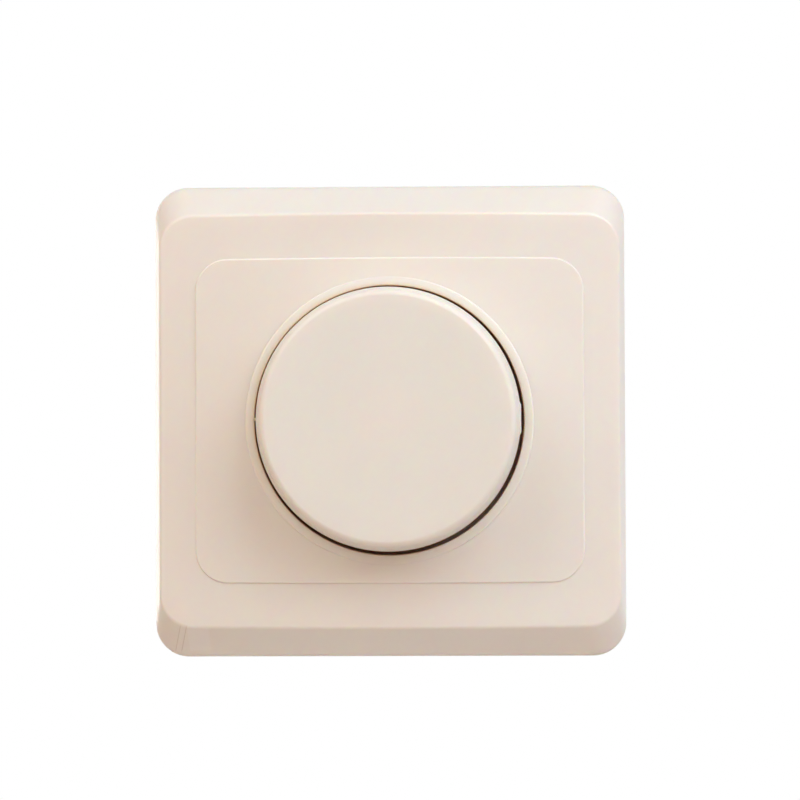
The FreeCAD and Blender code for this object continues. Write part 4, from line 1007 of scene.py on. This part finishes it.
class DIMMER_OT_stage(bpy.types.Operator):
    """Set out the floor, lights and camera"""

    bl_idname = "dimmer.stage"
    bl_label = "Set Stage"

    def execute(self, context):
        s = context.scene.dimmer_stage
        self.floor()
        self.sky(context.scene)
        for name, place, width, power, colour in LIGHTS:
            area_light(name, place, width, power, colour)
        self.camera(context.scene, s)
        context.scene.view_settings.view_transform = "Standard"
        return {"FINISHED"}

    def floor(self):
        """A pale disc below the plate that fades out towards its rim."""
        angles = np.arange(FLOOR_SIDES) * 2 * np.pi / FLOOR_SIDES
        heights = np.full(FLOOR_SIDES, CAD_BOX[0][2] - FLOOR_DROP)
        rim = np.stack([FLOOR_RADIUS * np.cos(angles), FLOOR_RADIUS * np.sin(angles), heights], axis=-1)
        mesh = bpy.data.meshes.new("floor")
        mesh.from_pydata(rim.tolist(), [], [list(range(FLOOR_SIDES))])
        floor = bpy.data.objects.new("floor", mesh)
        bpy.context.scene.collection.objects.link(floor)
        paint = Finish("floor_paint")
        tone = paint.noise(6, 2.0)
        x, y, _ = paint.axes()
        fade = ((x * x + y * y) ** 0.5).between(*FLOOR_FADE)
        paint.set(Base_Color=paint.mix(tone, *FLOOR_TONES), Roughness=0.8, Alpha=fade)
        wear(floor, paint.material)

    def sky(self, scene):
        """White to the camera, and dimmer on the object, with a bright backdrop in its reflections."""
        world = bpy.data.worlds.new("studio")
        world.use_nodes = True
        tree = world.node_tree

        def add(kind, links, values):
            """Adds a node, with the links and plain values of its inputs by number."""
            made = tree.nodes.new(kind)
            if kind == "ShaderNodeMix":
                made.data_type = "RGBA"
            for index, source in links.items():
                tree.links.new(source, made.inputs[index])
            for index, value in values.items():
                made.inputs[index].default_value = value
            return made

        path = add("ShaderNodeLightPath", {}, {})
        direction = add("ShaderNodeTexCoord", {}, {})
        split = add("ShaderNodeSeparateXYZ", {0: direction.outputs["Generated"]}, {})
        behind = add("ShaderNodeMapRange", {0: split.outputs["Y"]}, {1: BACKDROP_FROM, 2: BACKDROP_FULL})
        glossy = path.outputs["Is Glossy Ray"]
        backdrop = add("ShaderNodeMix", {0: glossy}, {6: (*BACKDROP, 1), 7: (*BACKDROP_SHINE, 1)})
        glow = add("ShaderNodeMix", {0: behind.outputs[0], 7: backdrop.outputs[2]}, {6: (*AMBIENT, 1)})
        sky = add(
            "ShaderNodeMix",
            {0: path.outputs["Is Camera Ray"], 6: glow.outputs[2]},
            {7: (1.0, 1.0, 1.0, 1.0)},
        )
        tree.links.new(sky.outputs[2], tree.nodes["Background"].inputs["Color"])
        scene.world = world

    def camera(self, scene, s):
        """A camera square to the plate's middle, a little right of and below it."""
        middle = Vector(((COVER_LOW[0] + COVER_HIGH[0]) / 2, 0.0, (COVER_LOW[2] + COVER_HIGH[2]) / 2))
        data = bpy.data.cameras.new("camera")
        data.sensor_width = SENSOR_WIDTH
        data.lens = data.sensor_width * s.distance / s.view_width
        data.shift_x, data.shift_y = CAMERA_SHIFT
        data.clip_start = 0.01
        camera = bpy.data.objects.new("camera", data)
        camera.location = middle + Vector((s.side_step, -s.distance, -s.drop))
        facing = (middle - camera.location).to_track_quat("-Z", "Y")
        camera.rotation_mode = "QUATERNION"
        camera.rotation_quaternion = facing @ Matrix.Rotation(-s.roll, 3, "Z").to_quaternion()
        scene.collection.objects.link(camera)
        scene.camera = camera


class DIMMER_PT_panel(bpy.types.Panel):
    """The ivory's colour and a button for each build step"""

    bl_label = "Rotary Dimmer"
    bl_space_type = "VIEW_3D"
    bl_region_type = "UI"
    bl_category = "Dimmer"

    def draw(self, context):
        layout = self.layout
        layout.prop(context.scene.dimmer_colours, "ivory")
        for operator in OPERATORS:
            layout.operator(operator.bl_idname)


OPERATORS = (DIMMER_OT_cover, DIMMER_OT_knob, DIMMER_OT_insert, DIMMER_OT_stage)
GROUPS = {
    "dimmer_cover": DimmerCoverSettings,
    "dimmer_knob": DimmerKnobSettings,
    "dimmer_stage": DimmerStageSettings,
    "dimmer_colours": DimmerColours,
}


def register():
    """Registers the settings, operators and panel."""
    for group_class in GROUPS.values():
        bpy.utils.register_class(group_class)
    for name, group_class in GROUPS.items():
        setattr(bpy.types.Scene, name, PointerProperty(type=group_class))
    for operator in OPERATORS:
        bpy.utils.register_class(operator)
    bpy.utils.register_class(DIMMER_PT_panel)


def unregister():
    """Takes back everything that register adds."""
    bpy.utils.unregister_class(DIMMER_PT_panel)
    for operator in reversed(OPERATORS):
        bpy.utils.unregister_class(operator)
    for name in GROUPS:
        delattr(bpy.types.Scene, name)
    for group_class in reversed(GROUPS.values()):
        bpy.utils.unregister_class(group_class)


def main():
    """Builds the pieces and the stage."""
    register()
    bpy.ops.dimmer.cover()
    bpy.ops.dimmer.knob()
    bpy.ops.dimmer.insert()
    bpy.ops.dimmer.stage()


if __name__ == "__main__":
    main()
